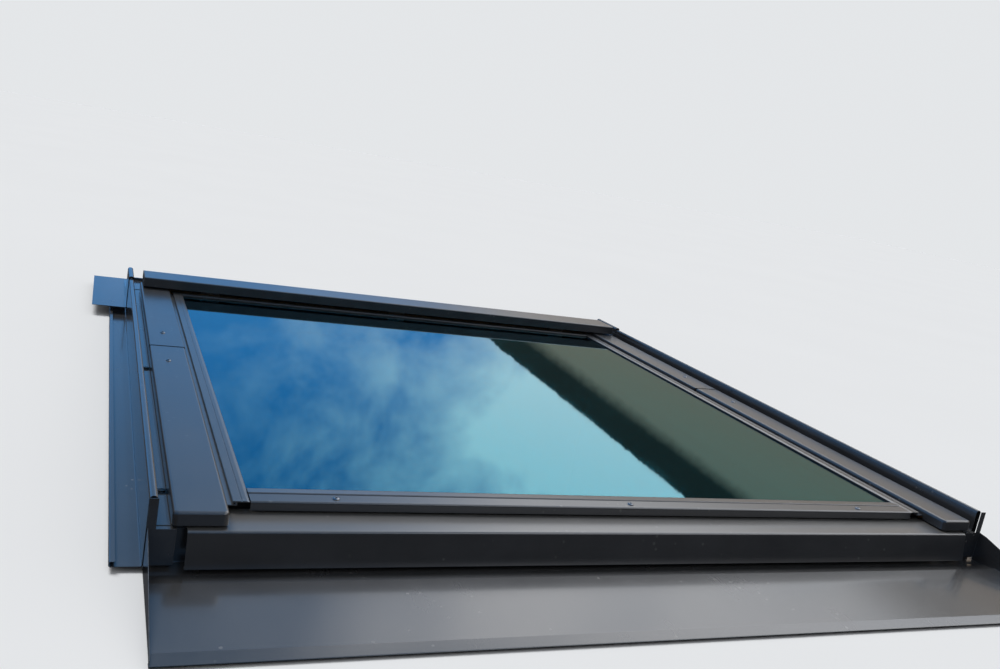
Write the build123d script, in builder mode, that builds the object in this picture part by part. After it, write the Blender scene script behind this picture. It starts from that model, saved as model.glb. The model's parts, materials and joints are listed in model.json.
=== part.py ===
"""Centre-pivot roof window with its covers, its flashing and its glazed sash.

The window lies in its own plane: X runs across it, Y up the slope and Z out of the roof.
The origin is the middle of the frame, level with the top of the roof battens.
Sizes are millimetres.
"""
from build123d import *
import math
import os

os.makedirs("parts", exist_ok=True)

# Frame: timber, measured over its outer faces
frame_width = 1140.0
frame_length = 1178.0
frame_depth = 102.0
frame_rise = 60.0
stile_width = 33.0
rail_width = 38.0
sill_drop = 10.0
tenon_length = 16.0
tenon_margin = 8.0
tenon_height = 44.0
lining_groove_width = 10.0
lining_groove_depth = 8.0
lining_groove_height = 12.0
timber_chamfer = 3.0

# Sash: timber, glazed from the outside
side_gap = 5.0
sill_gap = 8.0
head_gap = 12.0
sash_stile = 42.0
sash_rail = 42.0
sash_depth = 56.0
rebate_width = 16.0
sill_lip = 8.0
head_lip = 12.0
sash_round = 6.0
pane_clearance = 2.0

# Glass unit and its seals
tape_thickness = 2.0
pane_thickness = 4.0
spacer_height = 16.0
spacer_width = 8.0
spacer_inset = 2.0
pane_stand = 2.0
gasket_thickness = 2.0
gasket_width = 11.0
gasket_inset = 1.0
seal_thickness = 3.0
seal_height = 8.0
seal_level = 24.0
strip_thickness = 1.5
strip_clearance = 0.5

# Sheet metal
sheet = 0.7
bend = 2.0
cover_rise = 10.0
cover_depth = 15.0
cover_width = 57.0
cover_overhang = 5.5
cover_reach = 15.0
cover_corner = 6.0
cover_edge = 4.0
cover_foot = 10.0
split_below = 0.5
split_above = 4.8
lip_clearance = 1.2
cover_end = 4.0

# Pivot: the centre of the curved hinge lies at the underside of the covers
pivot_offset = 58.0
cleaning_angle = 160.0
track_radius = 19.0
tongue_width = 10.0
track_clearance = 0.3
track_wall = 3.0
track_depth = 4.8
track_drop = 1.0
tongue_depth = 4.2
tongue_root = 0.9
hinge_plate = 3.0
hinge_plate_length = 84.0
hinge_plate_low = 36.0
sash_plate_length = 76.0
hinge_screw_reach = 16.0
hinge_screw_margin = 6.5
sash_screw_line = 32.0
pocket_clearance = 1.0

# Hood over the head of the frame
hood_front = 61.0
hood_rear = 19.0
hood_height = 32.5
hood_lip = 3.0
hood_side = 0.5
hood_return = 6.0
hood_cap = 1.5
bracket_width = 40.0
bracket_sheet = 1.5
hood_bracket_inset = 140.0
hood_bracket_foot = 14.0
hood_bracket_arm = 20.0
hood_end_step = 2.0

# Bottom frame cover
sill_cover_rise = 3.0
sill_cover_side = 10.0
sill_cover_inset = 3.0
sill_cover_front = 22.0
sill_cover_lean = 7.0
sill_cover_drop = 40.0
sill_cover_fall = 0.6
sill_cover_round = 3.0
sill_cover_seat = 7.0

# Cover rail on the frame, and cover arm on the sash
rail_sheet = 1.2
cover_rail_width = 18.0
cover_rail_foot = 4.0
cover_rail_inset = 12.0
cover_rail_start = 42.0
arm_length = 40.0
arm_reach = 30.0
arm_drop = 26.0
arm_offset = 87.0
arm_screw_spacing = 20.0
arm_screw_level = 52.0
screw_line = 25.5
upper_screw_offset = 92.0

# Ribbed side profile of the sash
profile_inset = 2.5
profile_visible = 21.0
profile_rise = 5.5
profile_lip = 1.5
profile_shelf = 1.2
profile_overhang = 3.0
profile_slope = 3.5
profile_nose = 0.9
profile_corner = 0.6
rib_width = 4.5
rib_gap = 1.4
rib_height = 0.8
profile_reach = 41.0
profile_seat = 1.0

# Glass bead, bottom and top covers of the sash
bead_width = 16.0
bead_lap = 5.5
bead_nose = 3.0
bead_slope = 1.0
bead_gap = 2.0
bead_rise = 5.5
bead_top_offset = 4.8
side_fit = 0.5
sash_cover_front = 21.5
sash_cover_rise = 6.0
sash_cover_skirt = 10.3
top_cover_overlap = 8.0
top_cover_inset = 1.0
top_cover_foot = 2.0
bottom_screws = 3
bottom_screw_inset = 95.0

# Flashing
gutter_floor = 52.0
gutter_width = 20.0
wall_rise = 32.0
wall_width = 8.3
wall_roll = 4.0
wing_level = 5.0
wing_width = 32.0
wing_hem = 6.0
upstand_top = 66.0
clip_width = 12.0
clip_length = 14.0
clip_spacing = 80.0
lap_length = 44.0
apron_trough = 30.0
apron_trough_level = 7.0
apron_fold = 56.0
apron_fold_level = 12.0
apron_length = 190.0
apron_bend_width = 18.0
apron_bend_level = 7.0
apron_edge_level = 3.0
apron_hem = 12.0
hem_drop = 1.8
apron_upstand = 46.0
apron_wall_slope = 14.0
apron_wall_dip = 2.0
apron_wall_front = 6.0
apron_wall_rise = 5.0
head_trough = 52.0
head_ramp = 112.0
head_ramp_level = 30.0
head_length = 270.0
head_edge_level = 20.0
head_wing = 66.0
head_lap = 24.0
head_flat = 20.0
head_wing_start = 32.0
corner_leg = 44.0
corner_rise = 3.6
corner_roof = 9.0
corner_gap = 1.0

# Mounting brackets on the battens
fixing_length = 70.0
fixing_flange = 52.0
fixing_height = 44.0
fixing_sheet = 2.5
fixing_inset = 159.0
fixing_hole = 3.25
fixing_hole_line = 35.0
fixing_round = 8.0
fixing_screw_low = 17.5
fixing_screw_high = 33.0

# Screws
shank_radius = 2.0
shank_clearance = 0.15
head_radius = 4.0
head_height = 1.8

# Control bar, ventilation flap, lock
bar_inset = 82.0
axis_inset = 6.0
axis_drop = 8.0
bar_spine = 5.0
bar_plate = 4.0
bar_front = 36.0
bar_fall = 27.0
bar_wall = 3.0
bar_lip = 15.0
bar_cap = 4.0
pin_radius = 2.5
pin_clearance = 0.05
pin_end_gap = 0.3
bar_bracket_gap = 1.0
bar_bracket_foot = 22.0
bar_bracket_screw = 13.0
bar_bracket_back = 12.0
bar_bracket = 3.0
slot_inset = 20.0
slot_middle = 60.0
slot_width = 10.0
slot_offset = 21.0
slot_rise = 18.0
slot_outlet = 10.0
filter_inset = 3.0
flap_thickness = 2.2
flap_gap = 0.8
flap_overlap = 4.0
lock_half = 30.0
lock_depth = 27.0
lock_height = 24.0
lock_back = 2.0
latch_width = 20.0
latch_thickness = 8.0
latch_reach = 18.0
latch_level = 16.0
latch_travel = 8.0
latch_fit = 0.3
striker_half = 34.0
striker_screw_x = 25.0
striker_height = 28.0
striker_sheet = 2.0
striker_window = 1.0
striker_pocket = 10.0

# Cleaning lock
bolt_inset = 69.0
bolt_drop = 6.5
bolt_radius = 4.0
bolt_fit = 0.05
bolt_length = 31.0
bolt_travel = 12.0
bolt_guide_length = 26.0
bolt_guide_width = 36.0
bolt_guide_end = 3.0
guide_foot = 2.0
guide_screw_spacing = 25.0
guide_inset = 2.0
bolt_knob = 3.0
bolt_knob_drop = 12.0
bolt_chamfer = 1.0
bushing_wall = 2.0
bushing_length = 14.0

# Levels and edges that follow from the sizes above
half_width = frame_width / 2
half_length = frame_length / 2
frame_under = frame_rise - frame_depth
inner_half = half_width - stile_width
inner_low = -half_length + rail_width
inner_high = half_length - rail_width
sill_top = frame_rise - sill_drop

sash_half = inner_half - side_gap
sash_low = inner_low + sill_gap
sash_high = inner_high - head_gap
sash_under = frame_rise - sash_depth
bar_half = sash_half - bar_inset
slot_half = bar_half - slot_inset
day_half = sash_half - sash_stile
day_low = sash_low + sash_rail
day_high = sash_high - sash_rail
rebate_half = day_half + rebate_width
rebate_low = sash_low + sill_lip
rebate_high = sash_high - head_lip

pane_half = rebate_half - pane_clearance
pane_low = rebate_low + pane_clearance
pane_high = rebate_high - pane_clearance
glass_top = frame_rise + pane_stand
outer_pane_under = glass_top - pane_thickness
spacer_under = outer_pane_under - spacer_height
inner_pane_under = spacer_under - pane_thickness
rebate_floor = inner_pane_under - tape_thickness
gasket_top = glass_top + gasket_thickness

cover_top = frame_rise + cover_rise
cover_under = cover_top - sheet
cover_bottom = cover_top - cover_depth
cover_outer = half_width + cover_overhang
cover_inner = cover_outer - cover_width
cover_front = -half_length - cover_reach
cover_rear = half_length - cover_end
pivot_y = pivot_offset
pivot_z = cover_under
fixing_y = half_length - fixing_inset
lower_cover_end = pivot_y - split_below
upper_cover_start = pivot_y + split_above
screw_x = cover_outer - screw_line

shelf_top = frame_rise + profile_shelf
profile_top = frame_rise + profile_rise
profile_front = cover_front + profile_reach
profile_rear = sash_high + pane_clearance
lip_inner = day_half + profile_inset
lip_outer = day_half + profile_visible

wall_inner = half_width + sheet + gutter_width
wall_outer = wall_inner + wall_width
wall_top = gutter_floor + wall_rise
wall_end = cover_front + wall_width
side_rear = half_length + head_lap

axis_y = sash_high - axis_inset
axis_z = sash_under - axis_drop


def write_piece(piece, name):
    """Give a finished piece its name and write it."""
    piece.part.label = name
    export_step(piece.part, f"parts/{name}.step")


def mirrored(piece):
    """The same piece for the other side of the window."""
    with BuildPart() as twin:
        add(piece.part)
        mirror(about=Plane.YZ, mode=Mode.REPLACE)
    return twin


def write_pair(right_piece, name):
    """Write a piece that stands on both sides of the window as two pieces."""
    write_piece(right_piece, f"{name}_right")
    write_piece(mirrored(right_piece), f"{name}_left")


def write_twins(right_piece, name):
    """Write a small piece that stands on both sides of the window as one piece of two solids."""
    left_piece = mirrored(right_piece)
    with BuildPart() as twins:
        add(right_piece.part)
        add(left_piece.part)
    write_piece(twins, name)


def section_at_y(y):
    """A plane across the window, drawn in X and Z."""
    return Plane.XZ.offset(-y)


def folded_along_y(points, bends, start, end, thickness=sheet):
    """Sheet folded along points in X and Z, the middle of its thickness, running from start to end in Y."""
    with BuildPart() as folded:
        with BuildSketch(section_at_y(start)):
            with BuildLine():
                FilletPolyline(*points, radius=bends)
            trace(line_width=thickness)
        extrude(amount=start - end)
    return folded


def folded_along_x(points, bends, start, end, thickness=sheet):
    """Sheet folded along points in Y and Z, the middle of its thickness, running from start to end in X."""
    with BuildPart() as folded:
        with BuildSketch(Plane.YZ.offset(start)):
            with BuildLine():
                FilletPolyline(*points, radius=bends)
            trace(line_width=thickness)
        extrude(amount=end - start)
    return folded


def block(x_low, x_high, y_low, y_high, z_low, z_high, mode=Mode.ADD):
    """A rectangular block between two corners, joined to or cut from the part being made."""
    with Locations(((x_low + x_high) / 2, (y_low + y_high) / 2, (z_low + z_high) / 2)):
        Box(x_high - x_low, y_high - y_low, z_high - z_low, mode=mode)


def ring_between(half, low, high, width, bottom, top, end_width=None):
    """A flat rectangular ring of one width, or with another width along its low and high sides."""
    end_width = width if end_width is None else end_width
    with BuildPart() as ring:
        with BuildSketch(Plane.XY.offset(bottom)):
            with Locations((0, (low + high) / 2)):
                Rectangle(2 * half, high - low)
            with Locations((0, (low + high) / 2)):
                Rectangle(2 * (half - width), high - low - 2 * end_width, mode=Mode.SUBTRACT)
        extrude(amount=top - bottom)
    return ring


def screw(length):
    """A pan-head screw standing on the XY plane, its shank pointing down."""
    with BuildPart() as one_screw:
        Cylinder(head_radius, head_height, align=(Align.CENTER, Align.CENTER, Align.MIN))
        fillet(one_screw.faces().sort_by(Axis.Z)[-1].edges(), head_height * 0.6)
        with Locations((0, 0, -length / 2)):
            Cylinder(shank_radius, length)
    return one_screw.part


def both_sides(planes):
    """The given planes, and the same ones on the other side of the window."""
    others = [
        Plane(
            origin=(-plane.origin.X, plane.origin.Y, plane.origin.Z),
            z_dir=(-plane.z_dir.X, plane.z_dir.Y, plane.z_dir.Z),
        )
        for plane in planes
    ]
    return planes + others


def screws_at(planes, length):
    """Separate screws, one on each plane."""
    one_screw = screw(length)
    with BuildPart() as group:
        for plane in planes:
            with Locations(plane):
                add(one_screw)
    return group


def screw_holes(planes, length):
    """Clearance holes for screws on the given planes, cut from the part being made."""
    for plane in planes:
        with Locations(plane):
            Cylinder(
                shank_radius + shank_clearance,
                2 * length,
                mode=Mode.SUBTRACT,
            )


def turned_about_pivot(y, z, angle):
    """Where a point of the closed sash comes to when the sash is turned by an angle."""
    turn = math.radians(angle)
    across = y - pivot_y
    above = z - pivot_z
    turned_y = pivot_y + across * math.cos(turn) + above * math.sin(turn)
    turned_z = pivot_z - across * math.sin(turn) + above * math.cos(turn)
    return turned_y, turned_z


# Places of the fasteners that more than one piece shares
plate_face = inner_half + pocket_clearance
hinge_screw_places = [
    (pivot_y + y_side * (hinge_plate_length / 2 - hinge_screw_margin), z)
    for y_side in (-1, 1)
    for z in (hinge_plate_low + hinge_screw_margin, frame_rise - hinge_screw_margin)
]
frame_hinge_planes = [
    Plane(origin=(plate_face, y, z), z_dir=(-1, 0, 0))
    for y, z in hinge_screw_places
]
striker_planes = [
    Plane(origin=(striker_screw_x, inner_high, latch_level), z_dir=(0, -1, 0)),
]
sash_hinge_planes = [
    Plane(origin=(sash_half, y, z), z_dir=(1, 0, 0))
    for y in (pivot_y - sash_screw_line, pivot_y + sash_screw_line)
    for z in (hinge_plate_low + hinge_screw_margin, frame_rise - hinge_screw_margin)
]
upright_planes = [
    Plane(origin=(half_width + fixing_sheet, y_shift, z), z_dir=(1, 0, 0))
    for y_shift in (-fixing_length / 4, fixing_length / 4)
    for z in (fixing_screw_low, fixing_screw_high)
]
fixing_planes = [
    Plane(origin=(plane.origin.X, y_side * fixing_y + plane.origin.Y, plane.origin.Z), z_dir=(1, 0, 0))
    for y_side in (-1, 1)
    for plane in upright_planes
]
lower_screw_y = pivot_y - arm_offset
arm_planes = [
    Plane(origin=(sash_half + bracket_sheet, lower_screw_y + y_shift, arm_screw_level), z_dir=(1, 0, 0))
    for y_shift in (-arm_screw_spacing / 2, arm_screw_spacing / 2)
]
bracket_face = bar_half + bar_cap + bar_bracket_gap
bracket_back = axis_y - bar_bracket_back
bar_screw_x = bracket_face + bar_bracket_screw
bar_screw_y = (bracket_back + sash_high) / 2
bar_bracket_planes = [
    Plane(origin=(bar_screw_x, bar_screw_y, sash_under - guide_foot), z_dir=(0, 0, -1)),
]
bolt_y = sash_high - bolt_inset
bolt_z = sash_under - bolt_drop
guide_end = sash_half - guide_inset
guide_start = guide_end - bolt_guide_length
guide_planes = [
    Plane(origin=((guide_start + guide_end) / 2, bolt_y + y_shift, sash_under - guide_foot), z_dir=(0, 0, -1))
    for y_shift in (-guide_screw_spacing / 2, guide_screw_spacing / 2)
]
bushing_places = [
    (bolt_y, bolt_z),
    turned_about_pivot(bolt_y, bolt_z, cleaning_angle),
]

# Frame stiles
with BuildPart() as frame_stile:
    block(inner_half, half_width, -half_length, half_length, frame_under, frame_rise)
    block(
        inner_half, half_width,
        -half_length, inner_low,
        sill_top, frame_rise,
        mode=Mode.SUBTRACT,
    )
    groove_low = frame_under + lining_groove_height
    block(
        inner_half, inner_half + lining_groove_depth,
        inner_low, inner_high,
        groove_low, groove_low + lining_groove_width,
        mode=Mode.SUBTRACT,
    )
    tenon_low = groove_low + lining_groove_width + tenon_margin
    for rail_inner, rail_outer in ((inner_high, half_length), (inner_low, -half_length)):
        tenon_edges = sorted((rail_inner, rail_outer))
        block(
            inner_half, inner_half + tenon_length,
            tenon_edges[0] + tenon_margin, tenon_edges[1] - tenon_margin,
            tenon_low, tenon_low + tenon_height,
            mode=Mode.SUBTRACT,
        )
    block(
        inner_half, plate_face + hinge_plate,
        pivot_y - hinge_plate_length / 2, pivot_y + hinge_plate_length / 2,
        hinge_plate_low, frame_rise,
        mode=Mode.SUBTRACT,
    )
    screw_holes(frame_hinge_planes, hinge_screw_reach)
    screw_holes(fixing_planes, hinge_screw_reach)
write_piece(mirrored(frame_stile), "frame_stile_left")
with BuildPart() as frame_stile_right:
    add(frame_stile.part)
    for bushing_y, bushing_z in bushing_places:
        with Locations(Plane(origin=(inner_half, bushing_y, bushing_z), z_dir=(1, 0, 0))):
            Cylinder(
                bolt_radius + bolt_fit + bushing_wall,
                bushing_length,
                align=(Align.CENTER, Align.CENTER, Align.MIN),
                mode=Mode.SUBTRACT,
            )
write_piece(frame_stile_right, "frame_stile_right")


def frame_rail(inner, outer, top):
    """A cross member of the frame, tenoned into both stiles."""
    edges = sorted((inner, outer))
    into = 1 if outer > inner else -1
    with BuildPart() as rail:
        block(-inner_half, inner_half, edges[0], edges[1], frame_under, top)
        block(
            -inner_half - tenon_length, inner_half + tenon_length,
            edges[0] + tenon_margin, edges[1] - tenon_margin,
            tenon_low, tenon_low + tenon_height,
        )
        groove = sorted((inner, inner + into * lining_groove_depth))
        block(
            -inner_half, inner_half,
            groove[0], groove[1],
            groove_low, groove_low + lining_groove_width,
            mode=Mode.SUBTRACT,
        )
    return rail


head_member = frame_rail(inner_high, half_length, frame_rise)
with BuildPart() as frame_head:
    add(head_member.part)
    block(
        -striker_half, striker_half,
        inner_high, inner_high + striker_sheet,
        sash_under, sash_under + striker_height,
        mode=Mode.SUBTRACT,
    )
    block(
        -latch_width, latch_width,
        inner_high, inner_high + striker_sheet + striker_pocket,
        latch_level - latch_thickness, latch_level + latch_thickness,
        mode=Mode.SUBTRACT,
    )
    screw_holes(both_sides(striker_planes), hinge_screw_reach)
write_piece(frame_head, "frame_head")

frame_sill = frame_rail(inner_low, -half_length, sill_top)
write_piece(frame_sill, "frame_sill")

# Sash stiles, with the rebate for the glass and the pocket of the hinge plate
with BuildPart() as sash_side:
    block(day_half, sash_half, sash_low, sash_high, sash_under, frame_rise)
    fillet(
        sash_side.edges().filter_by(Axis.Y).group_by(Axis.Z)[0].sort_by(Axis.X)[0],
        sash_round,
    )
    block(
        day_half, rebate_half,
        rebate_low, rebate_high,
        rebate_floor, frame_rise,
        mode=Mode.SUBTRACT,
    )
    for rail_inner, rail_outer in ((day_high, sash_high), (day_low, sash_low)):
        tenon_edges = sorted((rail_inner, rail_outer))
        block(
            day_half, day_half + tenon_length,
            tenon_edges[0] + tenon_margin, tenon_edges[1] - tenon_margin,
            sash_under + tenon_margin, rebate_floor - tenon_margin,
            mode=Mode.SUBTRACT,
        )
    block(
        sash_half - hinge_plate, sash_half,
        pivot_y - sash_plate_length / 2, pivot_y + sash_plate_length / 2,
        hinge_plate_low, frame_rise,
        mode=Mode.SUBTRACT,
    )
    screw_holes(sash_hinge_planes + arm_planes, hinge_screw_reach)
write_piece(mirrored(sash_side), "sash_stile_left")
with BuildPart() as sash_stile_right:
    add(sash_side.part)
    screw_holes(guide_planes, hinge_screw_reach)
write_piece(sash_stile_right, "sash_stile_right")


def sash_rail_solid(inner, outer, rebate_start):
    """A cross member of the sash, tenoned into both stiles and rebated for the glass."""
    edges = sorted((inner, outer))
    rebate = sorted((inner, rebate_start))
    with BuildPart() as rail:
        block(-day_half, day_half, edges[0], edges[1], sash_under, frame_rise)
        room_edge = rail.edges().filter_by(Axis.X).group_by(Axis.Z)[0].sort_by(Axis.Y)
        fillet(room_edge[0] if inner < outer else room_edge[-1], sash_round)
        block(
            -day_half, day_half,
            rebate[0], rebate[1],
            rebate_floor, frame_rise,
            mode=Mode.SUBTRACT,
        )
        block(
            -day_half - tenon_length, day_half + tenon_length,
            edges[0] + tenon_margin, edges[1] - tenon_margin,
            sash_under + tenon_margin, rebate_floor - tenon_margin,
        )
    return rail


slot_low = day_high + slot_offset
slot_high = slot_low + slot_width
slot_top = sash_under + slot_rise
outlet_low = slot_top - slot_outlet
slot_ranges = ((slot_middle, slot_half), (-slot_half, -slot_middle))
top_member = sash_rail_solid(day_high, sash_high, rebate_high)
with BuildPart() as sash_top_rail:
    add(top_member.part)
    for x_low, x_high in slot_ranges:
        block(x_low, x_high, slot_low, slot_high, sash_under, slot_top, mode=Mode.SUBTRACT)
        block(x_low, x_high, slot_low, sash_high, outlet_low, slot_top, mode=Mode.SUBTRACT)
    screw_holes(both_sides(bar_bracket_planes), hinge_screw_reach)
    block(
        -lock_half, lock_half,
        sash_high - lock_depth, sash_high,
        latch_level - lock_height / 2, latch_level + lock_height / 2,
        mode=Mode.SUBTRACT,
    )
write_piece(sash_top_rail, "sash_top_rail")

sash_bottom_rail = sash_rail_solid(day_low, sash_low, rebate_low)
write_piece(sash_bottom_rail, "sash_bottom_rail")

# Glass unit: two panes on a spacer, on tape in the rebate
for name, pane_under in (("inner_pane", inner_pane_under), ("outer_pane", outer_pane_under)):
    with BuildPart() as pane:
        block(-pane_half, pane_half, pane_low, pane_high, pane_under, pane_under + pane_thickness)
    write_piece(pane, name)

spacer = ring_between(
    pane_half - spacer_inset, pane_low + spacer_inset, pane_high - spacer_inset,
    spacer_width, spacer_under, outer_pane_under,
)
write_piece(spacer, "spacer_bar")
tape = ring_between(
    pane_half, pane_low, pane_high,
    spacer_width, rebate_floor, inner_pane_under,
)
write_piece(tape, "glazing_tape")
gasket = ring_between(
    pane_half - gasket_inset, pane_low + gasket_inset, pane_high - gasket_inset,
    gasket_width, glass_top, gasket_top, end_width=bead_width / 2,
)
write_piece(gasket, "glazing_gasket")

with BuildPart() as sash_seal:
    with BuildSketch(Plane.XY.offset(seal_level)):
        with Locations((0, (sash_low + sash_high) / 2)):
            Rectangle(2 * (sash_half + seal_thickness), sash_high - sash_low + 2 * seal_thickness)
            Rectangle(2 * sash_half, sash_high - sash_low, mode=Mode.SUBTRACT)
    extrude(amount=seal_height)
    chamfer(
        sash_seal.faces().sort_by(Axis.Z)[-1].outer_wire().edges(),
        seal_thickness / 2,
    )
    block(
        -sash_half, sash_half,
        sash_low - strip_thickness, sash_low,
        seal_level, frame_rise - strip_clearance,
    )
write_piece(sash_seal, "sash_seal")

# Ribbed side profile of the sash: a grooved lip on the glass that overhangs the shelf for the cover
with BuildPart() as side_profile:
    rib_start = lip_inner + profile_slope
    groove_start = rib_start + rib_width
    groove_end = groove_start + rib_gap
    neck_edge = lip_outer - profile_overhang
    seat_edge = sash_half - profile_seat
    with BuildSketch(section_at_y(profile_front)):
        with BuildLine():
            Polyline(
                (lip_inner, gasket_top),
                (lip_inner, profile_top - profile_nose),
                (rib_start, profile_top),
                (groove_start, profile_top),
                (groove_start, profile_top - rib_height),
                (groove_end, profile_top - rib_height),
                (groove_end, profile_top),
                (lip_outer - profile_corner, profile_top),
                (lip_outer, profile_top - profile_corner),
                (lip_outer, profile_top - profile_lip),
                (neck_edge, profile_top - profile_lip),
                (neck_edge, shelf_top),
                (seat_edge, shelf_top),
                (seat_edge, frame_rise),
                (rebate_half, frame_rise),
                (rebate_half, gasket_top),
                close=True,
            )
        make_face()
    extrude(amount=profile_front - profile_rear)
write_pair(side_profile, "side_profile")

# Glass bead along the bottom edge of the glass
bead_half = lip_inner - side_fit
bead_low = rebate_low - bead_lap
bead_high = bead_low + bead_width
with BuildPart() as glass_bead:
    with BuildSketch(Plane.YZ.offset(-bead_half)):
        with BuildLine():
            Polyline(
                (bead_low, frame_rise),
                (bead_low, frame_rise + bead_rise),
                (bead_low + bead_slope, frame_rise + bead_rise + bead_slope),
                (bead_high - bead_nose, frame_rise + bead_rise),
                (bead_high, frame_rise + bead_top_offset),
                (bead_high, gasket_top),
                (rebate_low, gasket_top),
                (rebate_low, frame_rise),
                close=True,
            )
        make_face()
    extrude(amount=2 * bead_half)
write_piece(glass_bead, "glass_bead")

# Bottom sash cover, which sheds water over the bottom frame cover
bottom_cover_front = sash_low - sash_cover_front
bottom_cover_level = frame_rise + sash_cover_rise - sheet / 2
bottom_cover_rear = bead_low - bead_gap
bottom_screw_y = (bottom_cover_front + bottom_cover_rear) / 2
bottom_screw_pitch = day_half - bottom_screw_inset
bottom_cover_sheet = folded_along_x(
    [
        (bead_low, frame_rise + sheet / 2),
        (bottom_cover_rear, frame_rise + sheet / 2),
        (bottom_cover_rear, bottom_cover_level),
        (bottom_cover_front + sheet / 2, bottom_cover_level),
        (bottom_cover_front + sheet / 2, bottom_cover_level - sash_cover_skirt),
    ],
    [sheet, sheet, bend],
    -bead_half, bead_half,
)
with BuildPart() as bottom_sash_cover:
    add(bottom_cover_sheet.part)
    with Locations((0, bottom_screw_y, bottom_cover_level)):
        with GridLocations(bottom_screw_pitch, 1, bottom_screws, 1):
            Cylinder(shank_radius + shank_clearance, 4, mode=Mode.SUBTRACT)
write_piece(bottom_sash_cover, "bottom_sash_cover")

# Top sash cover, under the hood
top_cover_front = rebate_high - top_cover_overlap
top_cover_rear = sash_high - top_cover_inset
top_cover_level = profile_top - sheet / 2
top_sash_cover = folded_along_x(
    [
        (top_cover_front + sheet / 2, gasket_top),
        (top_cover_front + sheet / 2, top_cover_level),
        (top_cover_rear - sheet / 2, top_cover_level),
        (top_cover_rear - sheet / 2, frame_rise + sheet / 2),
        (rebate_high + top_cover_foot, frame_rise + sheet / 2),
    ],
    [sheet, bend, sheet],
    -bead_half, bead_half,
)
write_piece(top_sash_cover, "top_sash_cover")

# Lower side covers: they turn with the sash, and their front ends are closed and rounded
lower_screw_planes = [Plane(origin=(screw_x, lower_screw_y, cover_top), z_dir=(0, 0, 1))]
with BuildPart() as lower_cover:
    block(cover_inner, cover_outer, cover_front, lower_cover_end, cover_bottom, cover_top)
    fillet(lower_cover.edges().filter_by(Axis.Z).group_by(Axis.Y)[0], cover_corner)
    top_edges = lower_cover.faces().sort_by(Axis.Z)[-1].edges()
    fillet(top_edges.filter_by(lambda edge: edge.center().Y < lower_cover_end - 1), cover_edge)
    offset(
        amount=-sheet,
        openings=[lower_cover.faces().sort_by(Axis.Z)[0], lower_cover.faces().sort_by(Axis.Y)[-1]],
    )
    block(
        cover_inner - 1, cover_inner + 2 * sheet,
        profile_front - 1, lower_cover_end + 1,
        cover_bottom - 1, shelf_top,
        mode=Mode.SUBTRACT,
    )
    block(
        cover_inner, cover_inner + cover_foot,
        profile_front, lower_cover_end,
        shelf_top, shelf_top + sheet,
    )
    screw_holes(lower_screw_planes, cover_depth)
write_pair(lower_cover, "lower_cover")

# Upper side covers: they stay on the frame, and the sash passes inwards under them
upper_screw_y = pivot_y + upper_screw_offset
upper_screw_planes = [Plane(origin=(screw_x, upper_screw_y, cover_top), z_dir=(0, 0, 1))]
upper_cover_sheet = folded_along_y(
    [
        (cover_outer - sheet / 2, cover_bottom),
        (cover_outer - sheet / 2, cover_top - sheet / 2),
        (cover_inner + sheet / 2, cover_top - sheet / 2),
        (cover_inner + sheet / 2, shelf_top + lip_clearance),
    ],
    [cover_edge - sheet / 2, (cover_edge - sheet / 2) / 2],
    upper_cover_start, cover_rear,
)
with BuildPart() as upper_cover:
    add(upper_cover_sheet.part)
    screw_holes(upper_screw_planes, cover_depth)
write_pair(upper_cover, "upper_cover")

# Cover rails: folded sheet on the frame stiles, which carries the upper covers
rail_centre = screw_x
rail_top = cover_under - rail_sheet / 2
rail_foot_level = frame_rise + rail_sheet / 2
rail_half = cover_rail_width / 2
cover_rail_sheet = folded_along_y(
    [
        (rail_centre - rail_half - cover_rail_foot, rail_foot_level),
        (rail_centre - rail_half, rail_foot_level),
        (rail_centre - rail_half, rail_top),
        (rail_centre + rail_half, rail_top),
        (rail_centre + rail_half, rail_foot_level),
        (rail_centre + rail_half + cover_rail_foot, rail_foot_level),
    ],
    bend,
    pivot_y + cover_rail_start, cover_rear - cover_rail_inset,
    thickness=rail_sheet,
)
with BuildPart() as cover_rail:
    add(cover_rail_sheet.part)
    screw_holes(upper_screw_planes, cover_depth)
write_pair(cover_rail, "cover_rail")
upper_cover_screws = screws_at(both_sides(upper_screw_planes), cover_depth / 3)
write_piece(upper_cover_screws, "upper_cover_screws")

# Cover arms: brackets on the sash that reach out under the lower covers
cover_arm_sheet = folded_along_y(
    [
        (sash_half + bracket_sheet / 2, cover_under - arm_drop),
        (sash_half + bracket_sheet / 2, cover_under - bracket_sheet / 2),
        (sash_half + arm_reach, cover_under - bracket_sheet / 2),
    ],
    bend,
    lower_screw_y - arm_length / 2, lower_screw_y + arm_length / 2,
    thickness=bracket_sheet,
)
with BuildPart() as cover_arm:
    add(cover_arm_sheet.part)
    screw_holes(lower_screw_planes, cover_depth)
    screw_holes(arm_planes, hinge_screw_reach)
write_twins(cover_arm, "cover_arms")
side_screw = screw(cover_depth / 3)
bottom_screw = screw(sash_cover_rise - 1)
with BuildPart() as sash_cover_screws:
    with Locations((0, lower_screw_y, cover_top)):
        with GridLocations(2 * screw_x, 1, 2, 1):
            add(side_screw)
    with Locations((0, bottom_screw_y, bottom_cover_level + sheet / 2)):
        with GridLocations(bottom_screw_pitch, 1, bottom_screws, 1):
            add(bottom_screw)
write_piece(sash_cover_screws, "sash_cover_screws")

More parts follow.
